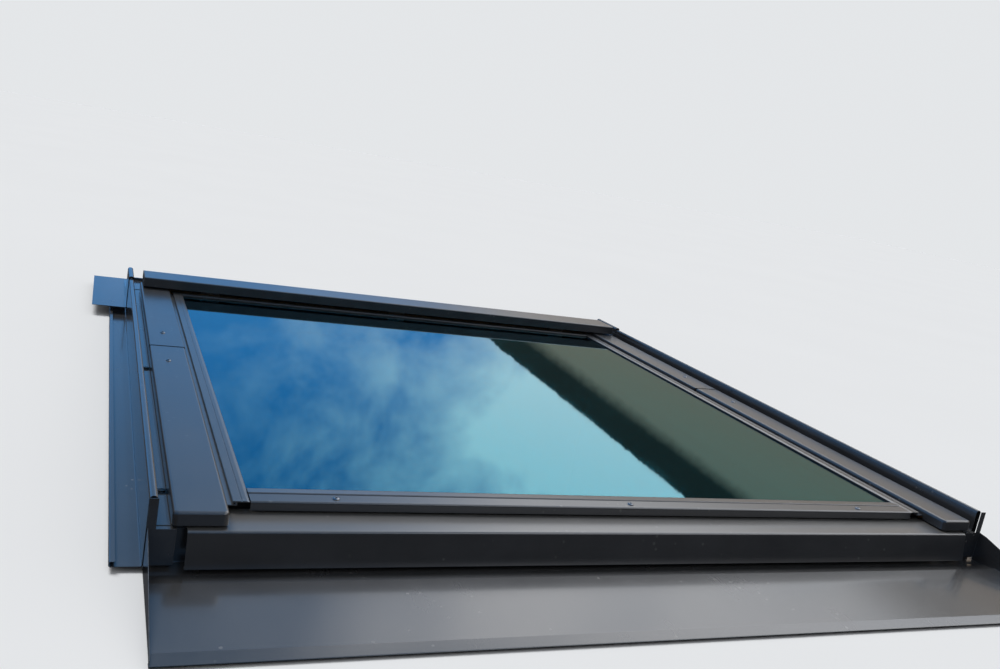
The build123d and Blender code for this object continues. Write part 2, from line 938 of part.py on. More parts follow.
# Bottom frame cover, in front of the sill
sill_cover_half = half_width - sill_cover_side
sill_cover_back = inner_low - sill_cover_inset
sill_cover_level = sill_top + sill_cover_rise - sheet / 2
sill_cover_edge = -half_length - sill_cover_front
bottom_frame_cover = folded_along_x(
    [
        (sill_cover_back - sill_cover_seat, sill_top + sheet / 2),
        (sill_cover_back, sill_top + sheet / 2),
        (sill_cover_back, sill_cover_level),
        (sill_cover_edge, sill_cover_level - sill_cover_fall),
        (sill_cover_edge - sill_cover_lean, sill_cover_level - sill_cover_drop),
        (sill_cover_edge, sill_cover_level - sill_cover_drop),
    ],
    [sheet, sheet, sill_cover_round, sheet],
    -sill_cover_half, sill_cover_half,
)
write_piece(bottom_frame_cover, "bottom_frame_cover")

# Hood over the head, its end caps and its brackets
hood_half = half_width + hood_side
hood_top = frame_rise + hood_height
hood_front_y = half_length - hood_front
hood_rear_y = half_length + hood_rear
hood_bottom = cover_top + hood_lip
hood_body_half = hood_half - hood_cap
hood = folded_along_x(
    [
        (hood_front_y + hood_return, hood_bottom + sheet / 2),
        (hood_front_y + sheet / 2, hood_bottom + sheet / 2),
        (hood_front_y + sheet / 2, hood_top - sheet / 2),
        (hood_rear_y - sheet / 2, hood_top - sheet / 2),
        (hood_rear_y - sheet / 2, upstand_top + sheet / 2),
        (hood_rear_y - hood_return, upstand_top + sheet / 2),
    ],
    [sheet, bend, bend, sheet],
    -hood_body_half, hood_body_half,
)
write_piece(hood, "hood")
with BuildPart() as hood_end:
    with BuildSketch(Plane.YZ.offset(hood_body_half)) as end_outline:
        with BuildLine():
            Polyline(
                (hood_front_y, hood_bottom),
                (hood_front_y, hood_top),
                (hood_rear_y, hood_top),
                (hood_rear_y, upstand_top),
                (half_length + hood_end_step, upstand_top),
                (half_length + hood_end_step, hood_bottom),
                close=True,
            )
        make_face()
        fillet(end_outline.vertices().group_by(Axis.Y)[-1], bend)
    extrude(amount=hood_cap)
write_twins(hood_end, "hood_ends")
hood_bracket_line = (inner_high + half_length) / 2
one_bracket = folded_along_x(
    [
        (hood_bracket_line + hood_bracket_foot, frame_rise + bracket_sheet / 2),
        (hood_bracket_line, frame_rise + bracket_sheet / 2),
        (hood_bracket_line, hood_top - sheet - bracket_sheet / 2),
        (hood_bracket_line - hood_bracket_arm, hood_top - sheet - bracket_sheet / 2),
    ],
    bend,
    -bracket_width / 2, bracket_width / 2,
    thickness=bracket_sheet,
)
with BuildPart() as hood_brackets:
    with GridLocations(half_width - hood_bracket_inset, 1, 3, 1):
        add(one_bracket.part)
write_piece(hood_brackets, "hood_brackets")

# Side flashing: inner upstand, gutter floor, outer wall folded back over itself, hidden wing with a hem
floor_level = gutter_floor - sheet / 2
side_sheet = folded_along_y(
    [
        (half_width + sheet / 2, upstand_top),
        (half_width + sheet / 2, floor_level),
        (wall_inner, floor_level),
        (wall_inner, wall_top - sheet / 2),
        (wall_outer, wall_top - sheet / 2),
        (wall_outer, wing_level + sheet / 2),
        (wall_outer + wing_width, wing_level + sheet / 2),
        (wall_outer + wing_width, wing_level + wing_hem),
        (wall_outer + wing_width - wing_hem, wing_level + wing_hem),
    ],
    [sheet, sheet, wall_roll, wall_roll, bend, bend, bend],
    wall_end, side_rear,
)
with BuildPart() as side_flashing:
    add(side_sheet.part)
    block(
        half_width - 1, half_width + 2 * sheet,
        half_length, side_rear + 1,
        gutter_floor, upstand_top + 1,
        mode=Mode.SUBTRACT,
    )
write_pair(side_flashing, "side_flashing")

# Clips that hold the gutters to the frame
clip_line = half_width + sheet + gutter_width / 2
with BuildPart() as gutter_clips:
    for x_side in (-1, 1):
        for clip_y in (-half_length + clip_spacing, pivot_y - clip_spacing):
            with Locations((x_side * clip_line, clip_y, gutter_floor)):
                Box(clip_width, clip_length, sheet, align=(Align.CENTER, Align.CENTER, Align.MIN))
                Cylinder(head_radius, head_height + sheet, align=(Align.CENTER, Align.CENTER, Align.MIN))
write_piece(gutter_clips, "gutter_clips")

# Apron: upstand behind the bottom frame cover, trough, sloping apron with a bent and hemmed edge,
# and at each end a short gutter end, a face that closes it, and a tapered side wall
apron_half = wall_outer - sheet / 2
apron_start = -half_length - sheet / 2
apron_back = -half_length - apron_fold
apron_front = cover_front - apron_length + cover_reach
lap_level = gutter_floor - 1.5 * sheet
apron_sheet = folded_along_x(
    [
        (apron_start, apron_upstand),
        (apron_start, apron_trough_level),
        (apron_start - apron_trough, apron_trough_level),
        (apron_back, apron_fold_level),
        (apron_front + apron_bend_width, apron_bend_level),
        (apron_front, apron_edge_level),
        (apron_front + apron_hem, apron_edge_level - hem_drop),
    ],
    [bend, bend, bend, bend, sheet],
    -apron_half, apron_half,
)
with BuildPart() as apron_flashing:
    add(apron_sheet.part)
    for x_side in (-1, 1):
        gutter_edges = sorted((x_side * half_width, x_side * apron_half))
        block(
            gutter_edges[0], gutter_edges[1],
            cover_front, cover_front + sheet,
            apron_fold_level - 1, gutter_floor - sheet,
        )
        lap_edges = sorted((x_side * half_width, x_side * (wall_inner - sheet / 2)))
        block(
            lap_edges[0], lap_edges[1],
            cover_front, cover_front + lap_length,
            lap_level - sheet / 2, lap_level + sheet / 2,
        )
        with BuildSketch(section_at_y(cover_front)):
            with Locations((x_side * (wall_inner + wall_outer) / 2, (wall_top + gutter_floor) / 2)):
                Rectangle(wall_width + sheet, wall_rise + 2 * sheet)
        extrude(amount=-sheet)
        with BuildSketch(Plane.YZ.offset(x_side * apron_half)):
            with BuildLine():
                Polyline(
                    (cover_front, wing_level),
                    (cover_front, gutter_floor),
                    (cover_front - apron_wall_slope, gutter_floor - apron_wall_dip),
                    (apron_front + apron_wall_front, apron_edge_level + apron_wall_rise),
                    (apron_front + apron_wall_front, apron_edge_level),
                    (apron_front + apron_bend_width, wing_level),
                    close=True,
                )
            make_face()
        extrude(amount=-x_side * sheet)
write_piece(apron_flashing, "apron_flashing")

# Head flashing: upstand, trough, ramp down to the roof, hem, corner legs over the gutter walls, wings
head_start = half_length + sheet / 2
head_floor = gutter_floor + sheet / 2
head_end = half_length + head_length
ramp_start = half_length + head_trough
ramp_end = half_length + head_ramp
behind_walls = side_rear + corner_gap
centre_half = wall_inner - sheet
leg_outer = wall_outer + 1.5 * sheet
wing_start = half_length + head_wing_start
leg_start = half_length - corner_leg
leg_end = ramp_start + corner_roof
head_edge = head_edge_level + sheet / 2
head_sheet = folded_along_x(
    [
        (head_start, upstand_top),
        (head_start, head_floor),
        (ramp_start, head_floor),
        (ramp_end, head_ramp_level),
        (head_end - head_flat, head_edge),
        (head_end, head_edge),
        (head_end, head_edge + wing_hem),
        (head_end - wing_hem, head_edge + wing_hem),
    ],
    [sheet, bend, bend, bend, bend, bend],
    -centre_half, centre_half,
)
corner_sheets = []
for x_side in (-1, 1):
    corner_edges = sorted((x_side * centre_half, x_side * leg_outer))
    corner_sheets.append(
        folded_along_x(
            [
                (behind_walls, head_floor),
                (ramp_start, head_floor),
                (ramp_end, head_ramp_level),
                (head_end - head_flat, head_edge),
                (head_end, head_edge),
            ],
            bend,
            corner_edges[0], corner_edges[1],
        )
    )
    corner_sheets.append(
        folded_along_y(
            [
                (x_side * (wall_inner - sheet), head_floor),
                (x_side * (wall_inner - sheet), wall_top + corner_rise),
                (x_side * leg_outer, wall_top + corner_rise),
                (x_side * leg_outer, head_edge),
                (x_side * (leg_outer + head_wing), head_edge),
            ],
            [wall_roll, wall_roll, bend],
            leg_start, leg_end,
        )
    )
with BuildPart() as head_flashing:
    add(head_sheet.part)
    for corner_sheet in corner_sheets:
        add(corner_sheet.part)
    for x_side in (-1, 1):
        wing_edges = sorted((x_side * leg_outer, x_side * (leg_outer + head_wing)))
        block(
            wing_edges[0], wing_edges[1],
            wing_start, head_end,
            head_edge_level, head_edge_level + sheet,
        )
        with BuildSketch(Plane.YZ.offset(x_side * (leg_outer + sheet / 2))):
            with BuildLine():
                Polyline(
                    (wing_start, head_edge),
                    (wing_start, head_floor),
                    (ramp_start, head_floor),
                    (ramp_end, head_ramp_level),
                    (head_end - head_flat, head_edge),
                    close=True,
                )
            make_face()
        extrude(amount=-x_side * sheet)
        mouth_edges = sorted((x_side * (half_width + sheet), x_side * wall_inner))
        block(
            mouth_edges[0], mouth_edges[1],
            half_length - 1, half_length + 3 * sheet,
            gutter_floor + sheet, upstand_top + 1,
            mode=Mode.SUBTRACT,
        )
write_piece(head_flashing, "head_flashing")

# Mounting brackets: an upright on the frame and a flange on the battens
with BuildPart() as one_fixing:
    block(
        half_width, half_width + fixing_sheet,
        -fixing_length / 2, fixing_length / 2,
        0, fixing_height,
    )
    block(
        half_width, half_width + fixing_flange,
        -fixing_length / 2, fixing_length / 2,
        0, fixing_sheet,
    )
    fillet(one_fixing.edges().filter_by(Axis.Z).group_by(Axis.X)[-1], fixing_round)
    fillet(one_fixing.edges().filter_by(Axis.X).group_by(Axis.Z)[-1], fixing_round)
    with Locations((half_width + fixing_hole_line, 0, 0)):
        with GridLocations(1, fixing_length / 2, 1, 2):
            Hole(fixing_hole)
    screw_holes(upright_planes, hinge_screw_reach / 2)
for end_name, y_side in (("upper", 1), ("lower", -1)):
    with BuildPart() as fixing:
        with Locations((0, y_side * fixing_y, 0)):
            add(one_fixing.part)
    write_pair(fixing, f"{end_name}_bracket")
bracket_screws = screws_at(both_sides(fixing_planes), hinge_screw_reach)
write_piece(bracket_screws, "bracket_screws")
frame_screws = screws_at(both_sides(frame_hinge_planes + striker_planes), hinge_screw_reach)
write_piece(frame_screws, "frame_screws")
sash_screws = screws_at(
    both_sides(sash_hinge_planes + arm_planes + bar_bracket_planes) + guide_planes,
    hinge_screw_reach,
)
write_piece(sash_screws, "sash_screws")


def half_ring(x_start, x_end, outer, inner, top):
    """Half a ring about the pivot, below a level, running from one X to another."""
    with BuildPart() as ring:
        with BuildSketch(Plane.YZ.offset(x_start)):
            with Locations((pivot_y, pivot_z)):
                Circle(outer)
                if inner > 0:
                    Circle(inner, mode=Mode.SUBTRACT)
        extrude(amount=x_end - x_start)
        block(
            x_start - 1, x_end + 1,
            pivot_y - outer - 1, pivot_y + outer + 1,
            top, pivot_z + outer + 1,
            mode=Mode.SUBTRACT,
        )
    return ring.part


# Hinge: a curved channel on the frame and a curved tongue on the sash, both about the pivot
track_outer = track_radius + tongue_width / 2 + track_clearance
track_inner = track_radius - tongue_width / 2 - track_clearance
track_top = pivot_z - track_drop
tongue_top = pivot_z - track_clearance
hinge_boss = half_ring(
    plate_face - track_depth, plate_face + hinge_plate,
    track_outer + track_wall, 0, track_top,
)
hinge_track = half_ring(plate_face - track_depth, plate_face, track_outer, track_inner, track_top + 1)
with BuildPart() as frame_hinge:
    block(
        plate_face, plate_face + hinge_plate,
        pivot_y - hinge_plate_length / 2, pivot_y + hinge_plate_length / 2,
        hinge_plate_low, frame_rise,
    )
    add(hinge_boss)
    add(hinge_track, mode=Mode.SUBTRACT)
    screw_holes(frame_hinge_planes, hinge_screw_reach)
write_pair(frame_hinge, "frame_hinge")

hinge_tongue = half_ring(
    sash_half - tongue_root, plate_face - track_depth + tongue_depth,
    track_radius + tongue_width / 2, track_radius - tongue_width / 2, tongue_top,
)
with BuildPart() as sash_hinge:
    block(
        sash_half - hinge_plate, sash_half,
        pivot_y - sash_plate_length / 2, pivot_y + sash_plate_length / 2,
        hinge_plate_low, frame_rise,
    )
    add(hinge_tongue)
    screw_holes(sash_hinge_planes, hinge_screw_reach)
write_pair(sash_hinge, "sash_hinge")

# Striker plate in the head, lock case in the top rail, and the latch bolt between them
striker_low = sash_under
window_half = latch_width / 2 + striker_window
window_low = latch_level - latch_thickness / 2 - striker_window
window_high = latch_level + latch_thickness / 2 + striker_window
with BuildPart() as striker_plate:
    block(
        -striker_half, striker_half,
        inner_high, inner_high + striker_sheet,
        striker_low, striker_low + striker_height,
    )
    fillet(striker_plate.edges().filter_by(Axis.Y), bend)
    block(
        -window_half, window_half,
        inner_high - 1, inner_high + striker_sheet + 1,
        window_low, window_high,
        mode=Mode.SUBTRACT,
    )
    screw_holes(both_sides(striker_planes), hinge_screw_reach)
write_piece(striker_plate, "striker_plate")

with BuildPart() as lock_case:
    block(
        -lock_half, lock_half,
        sash_high - lock_depth, sash_high,
        latch_level - lock_height / 2, latch_level + lock_height / 2,
    )
    fillet(lock_case.edges().filter_by(Axis.Z).group_by(Axis.Y)[0], bend)
    block(
        -latch_width / 2 - latch_fit, latch_width / 2 + latch_fit,
        sash_high - lock_depth + lock_back, sash_high,
        latch_level - latch_thickness / 2 - latch_fit, latch_level + latch_thickness / 2 + latch_fit,
        mode=Mode.SUBTRACT,
    )
write_piece(lock_case, "lock_case")

latch_tip = sash_high + latch_reach
latch_tail = sash_high - lock_depth + lock_back + latch_travel + latch_fit
with BuildPart() as latch_bolt:
    block(
        -latch_width / 2, latch_width / 2,
        latch_tail, latch_tip,
        latch_level - latch_thickness / 2, latch_level + latch_thickness / 2,
    )
    chamfer(latch_bolt.edges().filter_by(Axis.X).group_by(Axis.Y)[-1].sort_by(Axis.Z)[0], latch_thickness / 2)
    fillet(latch_bolt.edges().filter_by(Axis.Z).group_by(Axis.Y)[-1], bend)
write_piece(latch_bolt, "latch_bolt")

# Vent filter: a strip of foam in the outlet of each half of the slot through the top rail
with BuildPart() as vent_filter:
    for x_low, x_high in slot_ranges:
        block(x_low, x_high, slot_low, sash_high - filter_inset, outlet_low, slot_top)
write_piece(vent_filter, "vent_filter")

# Bar brackets: each holds a pin on which the control bar turns
with BuildPart() as bar_bracket_part:
    with BuildSketch(Plane.YZ.offset(bracket_face)):
        with BuildLine():
            Polyline(
                (bracket_back, sash_under),
                (axis_y - bar_spine, axis_z),
                (axis_y + bar_spine, axis_z),
                (sash_high, sash_under),
                close=True,
            )
        make_face()
        with Locations((axis_y, axis_z)):
            Circle(bar_spine)
    extrude(amount=bar_bracket)
    block(
        bracket_face, bracket_face + bar_bracket_foot,
        bracket_back, sash_high,
        sash_under - guide_foot, sash_under,
    )
    with BuildSketch(Plane.YZ.offset(bracket_face)):
        with Locations((axis_y, axis_z)):
            Circle(pin_radius)
    extrude(amount=-(bar_cap + bar_bracket_gap - pin_end_gap))
    screw_holes(bar_bracket_planes, hinge_screw_reach)
write_twins(bar_bracket_part, "bar_brackets")

# Control bar: an extrusion with a spine on the axis, a plate and a grip with a curled lip
bar_top = axis_z + bar_spine
bar_front_y = axis_y - bar_front
with BuildPart() as control_bar:
    with BuildSketch(Plane.YZ.offset(-bar_half)) as bar_section:
        with BuildLine():
            Polyline(
                (axis_y, bar_top),
                (bar_front_y, bar_top),
                (bar_front_y, bar_top - bar_fall),
                (bar_front_y + bar_lip, bar_top - bar_fall),
                (bar_front_y + bar_lip, bar_top - bar_fall + bar_wall),
                (bar_front_y + bar_wall, bar_top - bar_fall + bar_wall),
                (bar_front_y + bar_wall, bar_top - bar_plate),
                (axis_y, bar_top - bar_plate),
                close=True,
            )
        make_face()
        fillet(bar_section.vertices().group_by(Axis.X)[0], bar_wall * 0.9)
        with Locations((axis_y, axis_z)):
            Circle(bar_spine)
    extrude(amount=2 * bar_half)
write_piece(control_bar, "control_bar")

with BuildPart() as bar_end_cap:
    with BuildSketch(Plane.YZ.offset(bar_half)) as cap_section:
        with BuildLine():
            Polyline(
                (axis_y, bar_top),
                (bar_front_y, bar_top),
                (bar_front_y, bar_top - bar_fall),
                (bar_front_y + bar_lip, bar_top - bar_fall),
                (axis_y, axis_z - bar_spine),
                close=True,
            )
        make_face()
        fillet(cap_section.vertices().group_by(Axis.X)[0], bar_wall * 0.9)
        with Locations((axis_y, axis_z)):
            Circle(bar_spine)
            Circle(pin_radius + pin_clearance, mode=Mode.SUBTRACT)
    extrude(amount=bar_cap)
write_twins(bar_end_cap, "bar_end_caps")

# Ventilation flap: a strip on the bar that closes the slot
with BuildPart() as vent_flap:
    block(
        -slot_half - flap_overlap, slot_half + flap_overlap,
        slot_low - flap_overlap, slot_high + flap_overlap,
        bar_top, sash_under - flap_gap,
    )
    chamfer(vent_flap.faces().sort_by(Axis.Z)[-1].edges().filter_by(Axis.X), flap_thickness / 3)
write_piece(vent_flap, "vent_flap")

# Barrel bolt under the right sash stile, its guide, and the bushings in the frame
bolt_start = sash_half - bolt_length
with BuildPart() as bolt_guide:
    block(
        guide_start, guide_end,
        bolt_y - bolt_guide_width / 2, bolt_y + bolt_guide_width / 2,
        sash_under - guide_foot, sash_under,
    )
    with Locations(Plane(origin=(guide_start, bolt_y, bolt_z), z_dir=(1, 0, 0))):
        Cylinder(
            bolt_radius + bolt_fit + bushing_wall,
            bolt_guide_length,
            align=(Align.CENTER, Align.CENTER, Align.MIN),
        )
        Cylinder(
            bolt_radius + bolt_fit,
            bolt_guide_length,
            align=(Align.CENTER, Align.CENTER, Align.MIN),
            mode=Mode.SUBTRACT,
        )
    block(
        guide_start + bolt_guide_end, guide_end - bolt_guide_end,
        bolt_y - bolt_knob - latch_fit, bolt_y + bolt_knob + latch_fit,
        bolt_z - bolt_radius - bolt_fit - bushing_wall - 1, bolt_z,
        mode=Mode.SUBTRACT,
    )
    screw_holes(guide_planes, hinge_screw_reach)
write_piece(bolt_guide, "bolt_guide")

with BuildPart() as barrel_bolt:
    with Locations(Plane(origin=(bolt_start, bolt_y, bolt_z), z_dir=(1, 0, 0))):
        Cylinder(bolt_radius, bolt_length, align=(Align.CENTER, Align.CENTER, Align.MIN))
    chamfer(barrel_bolt.faces().sort_by(Axis.X)[-1].edges(), bolt_chamfer)
    with Locations((guide_start + bolt_guide_end + bolt_knob + latch_fit, bolt_y, bolt_z)):
        Cylinder(bolt_knob, bolt_knob_drop, align=(Align.CENTER, Align.CENTER, Align.MAX))
write_piece(barrel_bolt, "barrel_bolt")

with BuildPart() as bolt_bushings:
    for bushing_y, bushing_z in bushing_places:
        with Locations(Plane(origin=(inner_half, bushing_y, bushing_z), z_dir=(1, 0, 0))):
            Cylinder(
                bolt_radius + bolt_fit + bushing_wall,
                bushing_length,
                align=(Align.CENTER, Align.CENTER, Align.MIN),
            )
            Cylinder(
                bolt_radius + 2 * bolt_fit,
                bushing_length,
                align=(Align.CENTER, Align.CENTER, Align.MIN),
                mode=Mode.SUBTRACT,
            )
write_piece(bolt_bushings, "bolt_bushings")
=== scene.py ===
"""Looks of the centre-pivot roof window: finishes, small details, stage, light and camera.

The window lies in its own plane: X runs across it, Y from its sill to its head and Z outwards. Metres.
"""
import json
import math

import bmesh
import bpy
from mathutils import Matrix, Vector


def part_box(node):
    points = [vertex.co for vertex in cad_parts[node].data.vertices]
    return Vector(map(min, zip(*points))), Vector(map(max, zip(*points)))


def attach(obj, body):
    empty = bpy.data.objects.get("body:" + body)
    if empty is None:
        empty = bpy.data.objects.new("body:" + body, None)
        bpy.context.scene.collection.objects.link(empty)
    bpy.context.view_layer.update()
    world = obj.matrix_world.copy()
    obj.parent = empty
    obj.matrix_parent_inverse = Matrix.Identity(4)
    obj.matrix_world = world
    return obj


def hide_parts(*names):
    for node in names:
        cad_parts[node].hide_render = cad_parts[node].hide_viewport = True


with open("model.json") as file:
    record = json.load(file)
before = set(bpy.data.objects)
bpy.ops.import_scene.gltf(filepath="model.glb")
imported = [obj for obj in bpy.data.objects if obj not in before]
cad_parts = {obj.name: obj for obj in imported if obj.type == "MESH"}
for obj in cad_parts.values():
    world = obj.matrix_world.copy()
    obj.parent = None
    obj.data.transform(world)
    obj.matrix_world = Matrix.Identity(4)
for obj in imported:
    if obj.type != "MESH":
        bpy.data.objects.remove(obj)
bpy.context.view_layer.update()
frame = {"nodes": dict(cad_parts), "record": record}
nodes = frame["nodes"]


# Helpers for objects and meshes
def new_object(name, data):
    """An object made from its data and put into the scene."""
    thing = bpy.data.objects.new(name, data)
    bpy.context.scene.collection.objects.link(thing)
    return thing


def mesh_of(shape, name):
    """A mesh made from a finished shape, which is then freed."""
    mesh = bpy.data.meshes.new(name)
    shape.to_mesh(mesh)
    shape.free()
    return mesh


# Camera
camera_place = Vector((-0.6734, -1.5361, 0.4874))
camera_right = Vector((0.9106, -0.3723, 0.1793))
camera_down = Vector((0.0888, -0.2473, -0.9649))
camera_forward = Vector((0.4035, 0.8946, -0.1921))
camera_lens = 33.7
camera_sensor = 36.0
camera_near = 0.01
camera_far = 100


def make_camera():
    """The camera at the photograph's place and angle."""
    data = bpy.data.cameras.new("camera")
    data.lens = camera_lens
    data.sensor_width = camera_sensor
    data.clip_start = camera_near
    data.clip_end = camera_far
    camera = new_object("camera", data)
    turn = Matrix((camera_right, -camera_down, -camera_forward)).transposed()
    camera.matrix_world = Matrix.Translation(camera_place) @ turn.to_4x4()
    bpy.context.scene.camera = camera


make_camera()


# Helpers for node trees
def set_inputs(node, values):
    """Plain values set on the inputs of a node, by name or place."""
    for key, value in values.items():
        node.inputs[key].default_value = value


def add_node(tree, kind, values=None, **settings):
    """A node of a kind, with its settings and the values of its inputs."""
    node = tree.nodes.new(kind)
    for setting, value in settings.items():
        setattr(node, setting, value)
    set_inputs(node, values or {})
    return node


def join(tree, source, target):
    """A link from an output socket to an input socket, or a plain value set on the input."""
    if isinstance(source, bpy.types.NodeSocket):
        tree.links.new(source, target)
    else:
        target.default_value = source


def join_all(tree, sources, targets):
    """One source joined to each target, in their order."""
    for source, target in zip(sources, targets):
        join(tree, source, target)


def maths(tree, operation, first, second=0.0, clamp=False):
    """The output of a Math node on two sockets or numbers."""
    node = add_node(tree, "ShaderNodeMath", operation=operation, use_clamp=clamp)
    join_all(tree, (first, second), node.inputs)
    return node.outputs[0]


def times(tree, first, second, clamp=False):
    """The product of two sockets or numbers."""
    return maths(tree, "MULTIPLY", first, second, clamp)


def plus(tree, first, second, clamp=False):
    """The sum of two sockets or numbers."""
    return maths(tree, "ADD", first, second, clamp)


def larger(tree, first, second):
    """The larger of two sockets or numbers."""
    return maths(tree, "MAXIMUM", first, second)


def opposite(tree, mask):
    """0 where a mask is 1, and 1 where it is 0."""
    return maths(tree, "SUBTRACT", 1.0, mask)


def remap(tree, value, low, high, new_low=0.0, new_high=1.0):
    """A value taken from one range to another, and held inside it."""
    node = add_node(tree, "ShaderNodeMapRange", {1: low, 2: high, 3: new_low, 4: new_high})
    join(tree, value, node.inputs[0])
    return node.outputs[0]


def mix_colours(tree, share, first, second):
    """The first colour with a share of the second, where each is a socket or plain."""
    node = add_node(tree, "ShaderNodeMix", data_type="RGBA")
    join_all(tree, (share, first, second), (node.inputs[0], node.inputs[6], node.inputs[7]))
    return node.outputs[2]


def mix_shaders(tree, share, first, second):
    """The first shader with a share of the second."""
    node = add_node(tree, "ShaderNodeMixShader")
    join_all(tree, (share, first, second), node.inputs)
    return node.outputs[0]


def stretch(tree, place, factors):
    """A position under which a pattern is drawn out along each axis with a small factor."""
    node = add_node(tree, "ShaderNodeVectorMath", operation="MULTIPLY")
    join_all(tree, (place, factors), node.inputs)
    return node.outputs[0]


def agreement(tree, first, second):
    """How far two directions agree: 1 where they are the same, 0 where they are at right angles."""
    node = add_node(tree, "ShaderNodeVectorMath", operation="DOT_PRODUCT")
    join_all(tree, (first, second), node.inputs)
    return node.outputs["Value"]


def split(tree, vector):
    """The X, Y and Z of a vector."""
    node = add_node(tree, "ShaderNodeSeparateXYZ")
    join(tree, vector, node.inputs[0])
    return node.outputs


def noise(tree, place, scale, detail=2.0, roughness=0.5):
    """Soft noise over a position."""
    node = add_node(tree, "ShaderNodeTexNoise", {"Detail": detail, "Roughness": roughness})
    join_all(tree, (place, scale), (node.inputs["Vector"], node.inputs["Scale"]))
    return node.outputs["Fac"]


def cells(tree, place, scale):
    """The outputs of a cell pattern over a position."""
    node = add_node(tree, "ShaderNodeTexVoronoi", {"Scale": scale})
    join(tree, place, node.inputs["Vector"])
    return node.outputs


def new_group(name, inputs, outputs):
    """An empty shader group with named inputs and outputs, given as name, socket type and default."""
    tree = bpy.data.node_groups.new(name, "ShaderNodeTree")
    for socket_name, kind, default in inputs:
        socket = tree.interface.new_socket(name=socket_name, in_out="INPUT", socket_type=kind)
        if default is not None:
            socket.default_value = default
    for socket_name, kind in outputs:
        tree.interface.new_socket(name=socket_name, in_out="OUTPUT", socket_type=kind)
    return tree, tree.nodes.new("NodeGroupInput").outputs, tree.nodes.new("NodeGroupOutput").inputs


def place_group(tree, group, **values):
    """The outputs of a group put into a tree, with a socket or a number for each named input."""
    node = add_node(tree, "ShaderNodeGroup")
    node.node_tree = group
    for key, value in values.items():
        join(tree, value, node.inputs[key.capitalize()])
    return node.outputs


# Effects that several finishes share; a pair of limits is where an effect starts and where it is full
run_stretch = 0.09
run_share = 0.45
run_limits = (0.42, 0.72)
smear_limits = (0.35, 0.70)
drop_limits = (0.16, 0.09)
wetted_limits = (0.50, 0.56)
tone_limits = (0.3, 0.7)
edge_radius = 0.0009
edge_limits = (0.97, 0.80)
rubbed_and_highlit_limits = (0.42, 0.62)
streak_limits = (0.45, 0.75)
outward_limits = (0.60, 0.95)


def make_weather_group():
    """A film of dust with run marks down the window, and small dried drops in some patches."""
    tree, given, out = new_group(
        "weather_film",
        [
            ("Position", "NodeSocketVector", None),
            ("Dust", "NodeSocketFloat", 0.5),
            ("Drops", "NodeSocketFloat", 0.5),
        ],
        [("Film", "NodeSocketFloat"), ("Spots", "NodeSocketFloat")],
    )
    place = given["Position"]
    drawn_out = stretch(tree, place, (1.0, run_stretch, 1.0))
    runs = remap(tree, noise(tree, drawn_out, scale=46.0, detail=5.0, roughness=0.62), *run_limits)
    patches = noise(tree, place, scale=6.5, detail=6.0, roughness=0.6)
    smears = remap(tree, patches, *smear_limits)
    both = plus(tree, times(tree, runs, run_share), times(tree, smears, 1 - run_share))
    join(tree, times(tree, both, given["Dust"], clamp=True), out["Film"])
    drops = remap(tree, cells(tree, place, scale=62.0)["Distance"], *drop_limits)
    spots = times(tree, drops, remap(tree, patches, *wetted_limits))
    join(tree, times(tree, spots, given["Drops"], clamp=True), out["Spots"])
    return tree


def make_grain_group():
    """The fine grain of a sprayed or moulded skin, and a slow change of tone."""
    tree, given, out = new_group(
        "fine_grain",
        [
            ("Position", "NodeSocketVector", None),
            ("Size", "NodeSocketFloat", 900.0),
        ],
        [("Height", "NodeSocketFloat"), ("Tone", "NodeSocketFloat")],
    )
    join(tree, noise(tree, given["Position"], given["Size"]), out["Height"])
    slow = noise(tree, given["Position"], scale=11.0, detail=4.0, roughness=0.55)
    join(tree, remap(tree, slow, *tone_limits), out["Tone"])
    return tree


def make_edge_group():
    """Softly rounded edges: the rounded normal, and a mask of the edge line for wear and a painted
    highlight.
    """
    tree, given, out = new_group(
        "soft_edge",
        [
            ("Position", "NodeSocketVector", None),
            ("Wear", "NodeSocketFloat", 0.5),
        ],
        [("Worn_and_highlit", "NodeSocketFloat"), ("Normal", "NodeSocketVector")],
    )
    rounded = add_node(tree, "ShaderNodeBevel", {"Radius": edge_radius}, samples=4).outputs[0]
    flat = add_node(tree, "ShaderNodeNewGeometry").outputs["Normal"]
    line = remap(tree, agreement(tree, rounded, flat), *edge_limits)
    patches = noise(tree, given["Position"], scale=70.0, detail=5.0, roughness=0.7)
    worn_and_highlit = times(tree, line, remap(tree, patches, *rubbed_and_highlit_limits))
    join(tree, times(tree, worn_and_highlit, given["Wear"], clamp=True), out["Worn_and_highlit"])
    join(tree, rounded, out["Normal"])
    return tree


def make_timber_group():
    """Straight-grained softwood: tone of the growth rings, pores and a few darker streaks."""
    tree, given, out = new_group(
        "timber_grain",
        [("Position", "NodeSocketVector", None)],
        [("Rings", "NodeSocketFloat"), ("Pores", "NodeSocketFloat"), ("Streaks", "NodeSocketFloat")],
    )
    place = given["Position"]
    rings = add_node(
        tree, "ShaderNodeTexWave",
        {"Scale": 26.0, "Distortion": 5.5, "Detail": 3.0, "Detail Scale": 1.4, "Detail Roughness": 0.6},
        wave_type="BANDS", bands_direction="DIAGONAL",
    )
    join(tree, place, rings.inputs["Vector"])
    join(tree, rings.outputs["Fac"], out["Rings"])
    join(tree, noise(tree, place, scale=420.0, detail=3.0, roughness=0.6), out["Pores"])
    streaks = noise(tree, place, scale=14.0, detail=5.0, roughness=0.65)
    join(tree, remap(tree, streaks, *streak_limits), out["Streaks"])
    return tree


weather_film = make_weather_group()
fine_grain = make_grain_group()
soft_edge = make_edge_group()
timber_grain = make_timber_group()


# Helpers for finishes
def start_material(name):
    """A material with its node tree, its shader node and the position over the window."""
    material = bpy.data.materials.new(name)
    material.use_nodes = True
    tree = material.node_tree
    shader = tree.nodes["Principled BSDF"]
    position = add_node(tree, "ShaderNodeTexCoord").outputs["Object"]
    return material, tree, shader, position


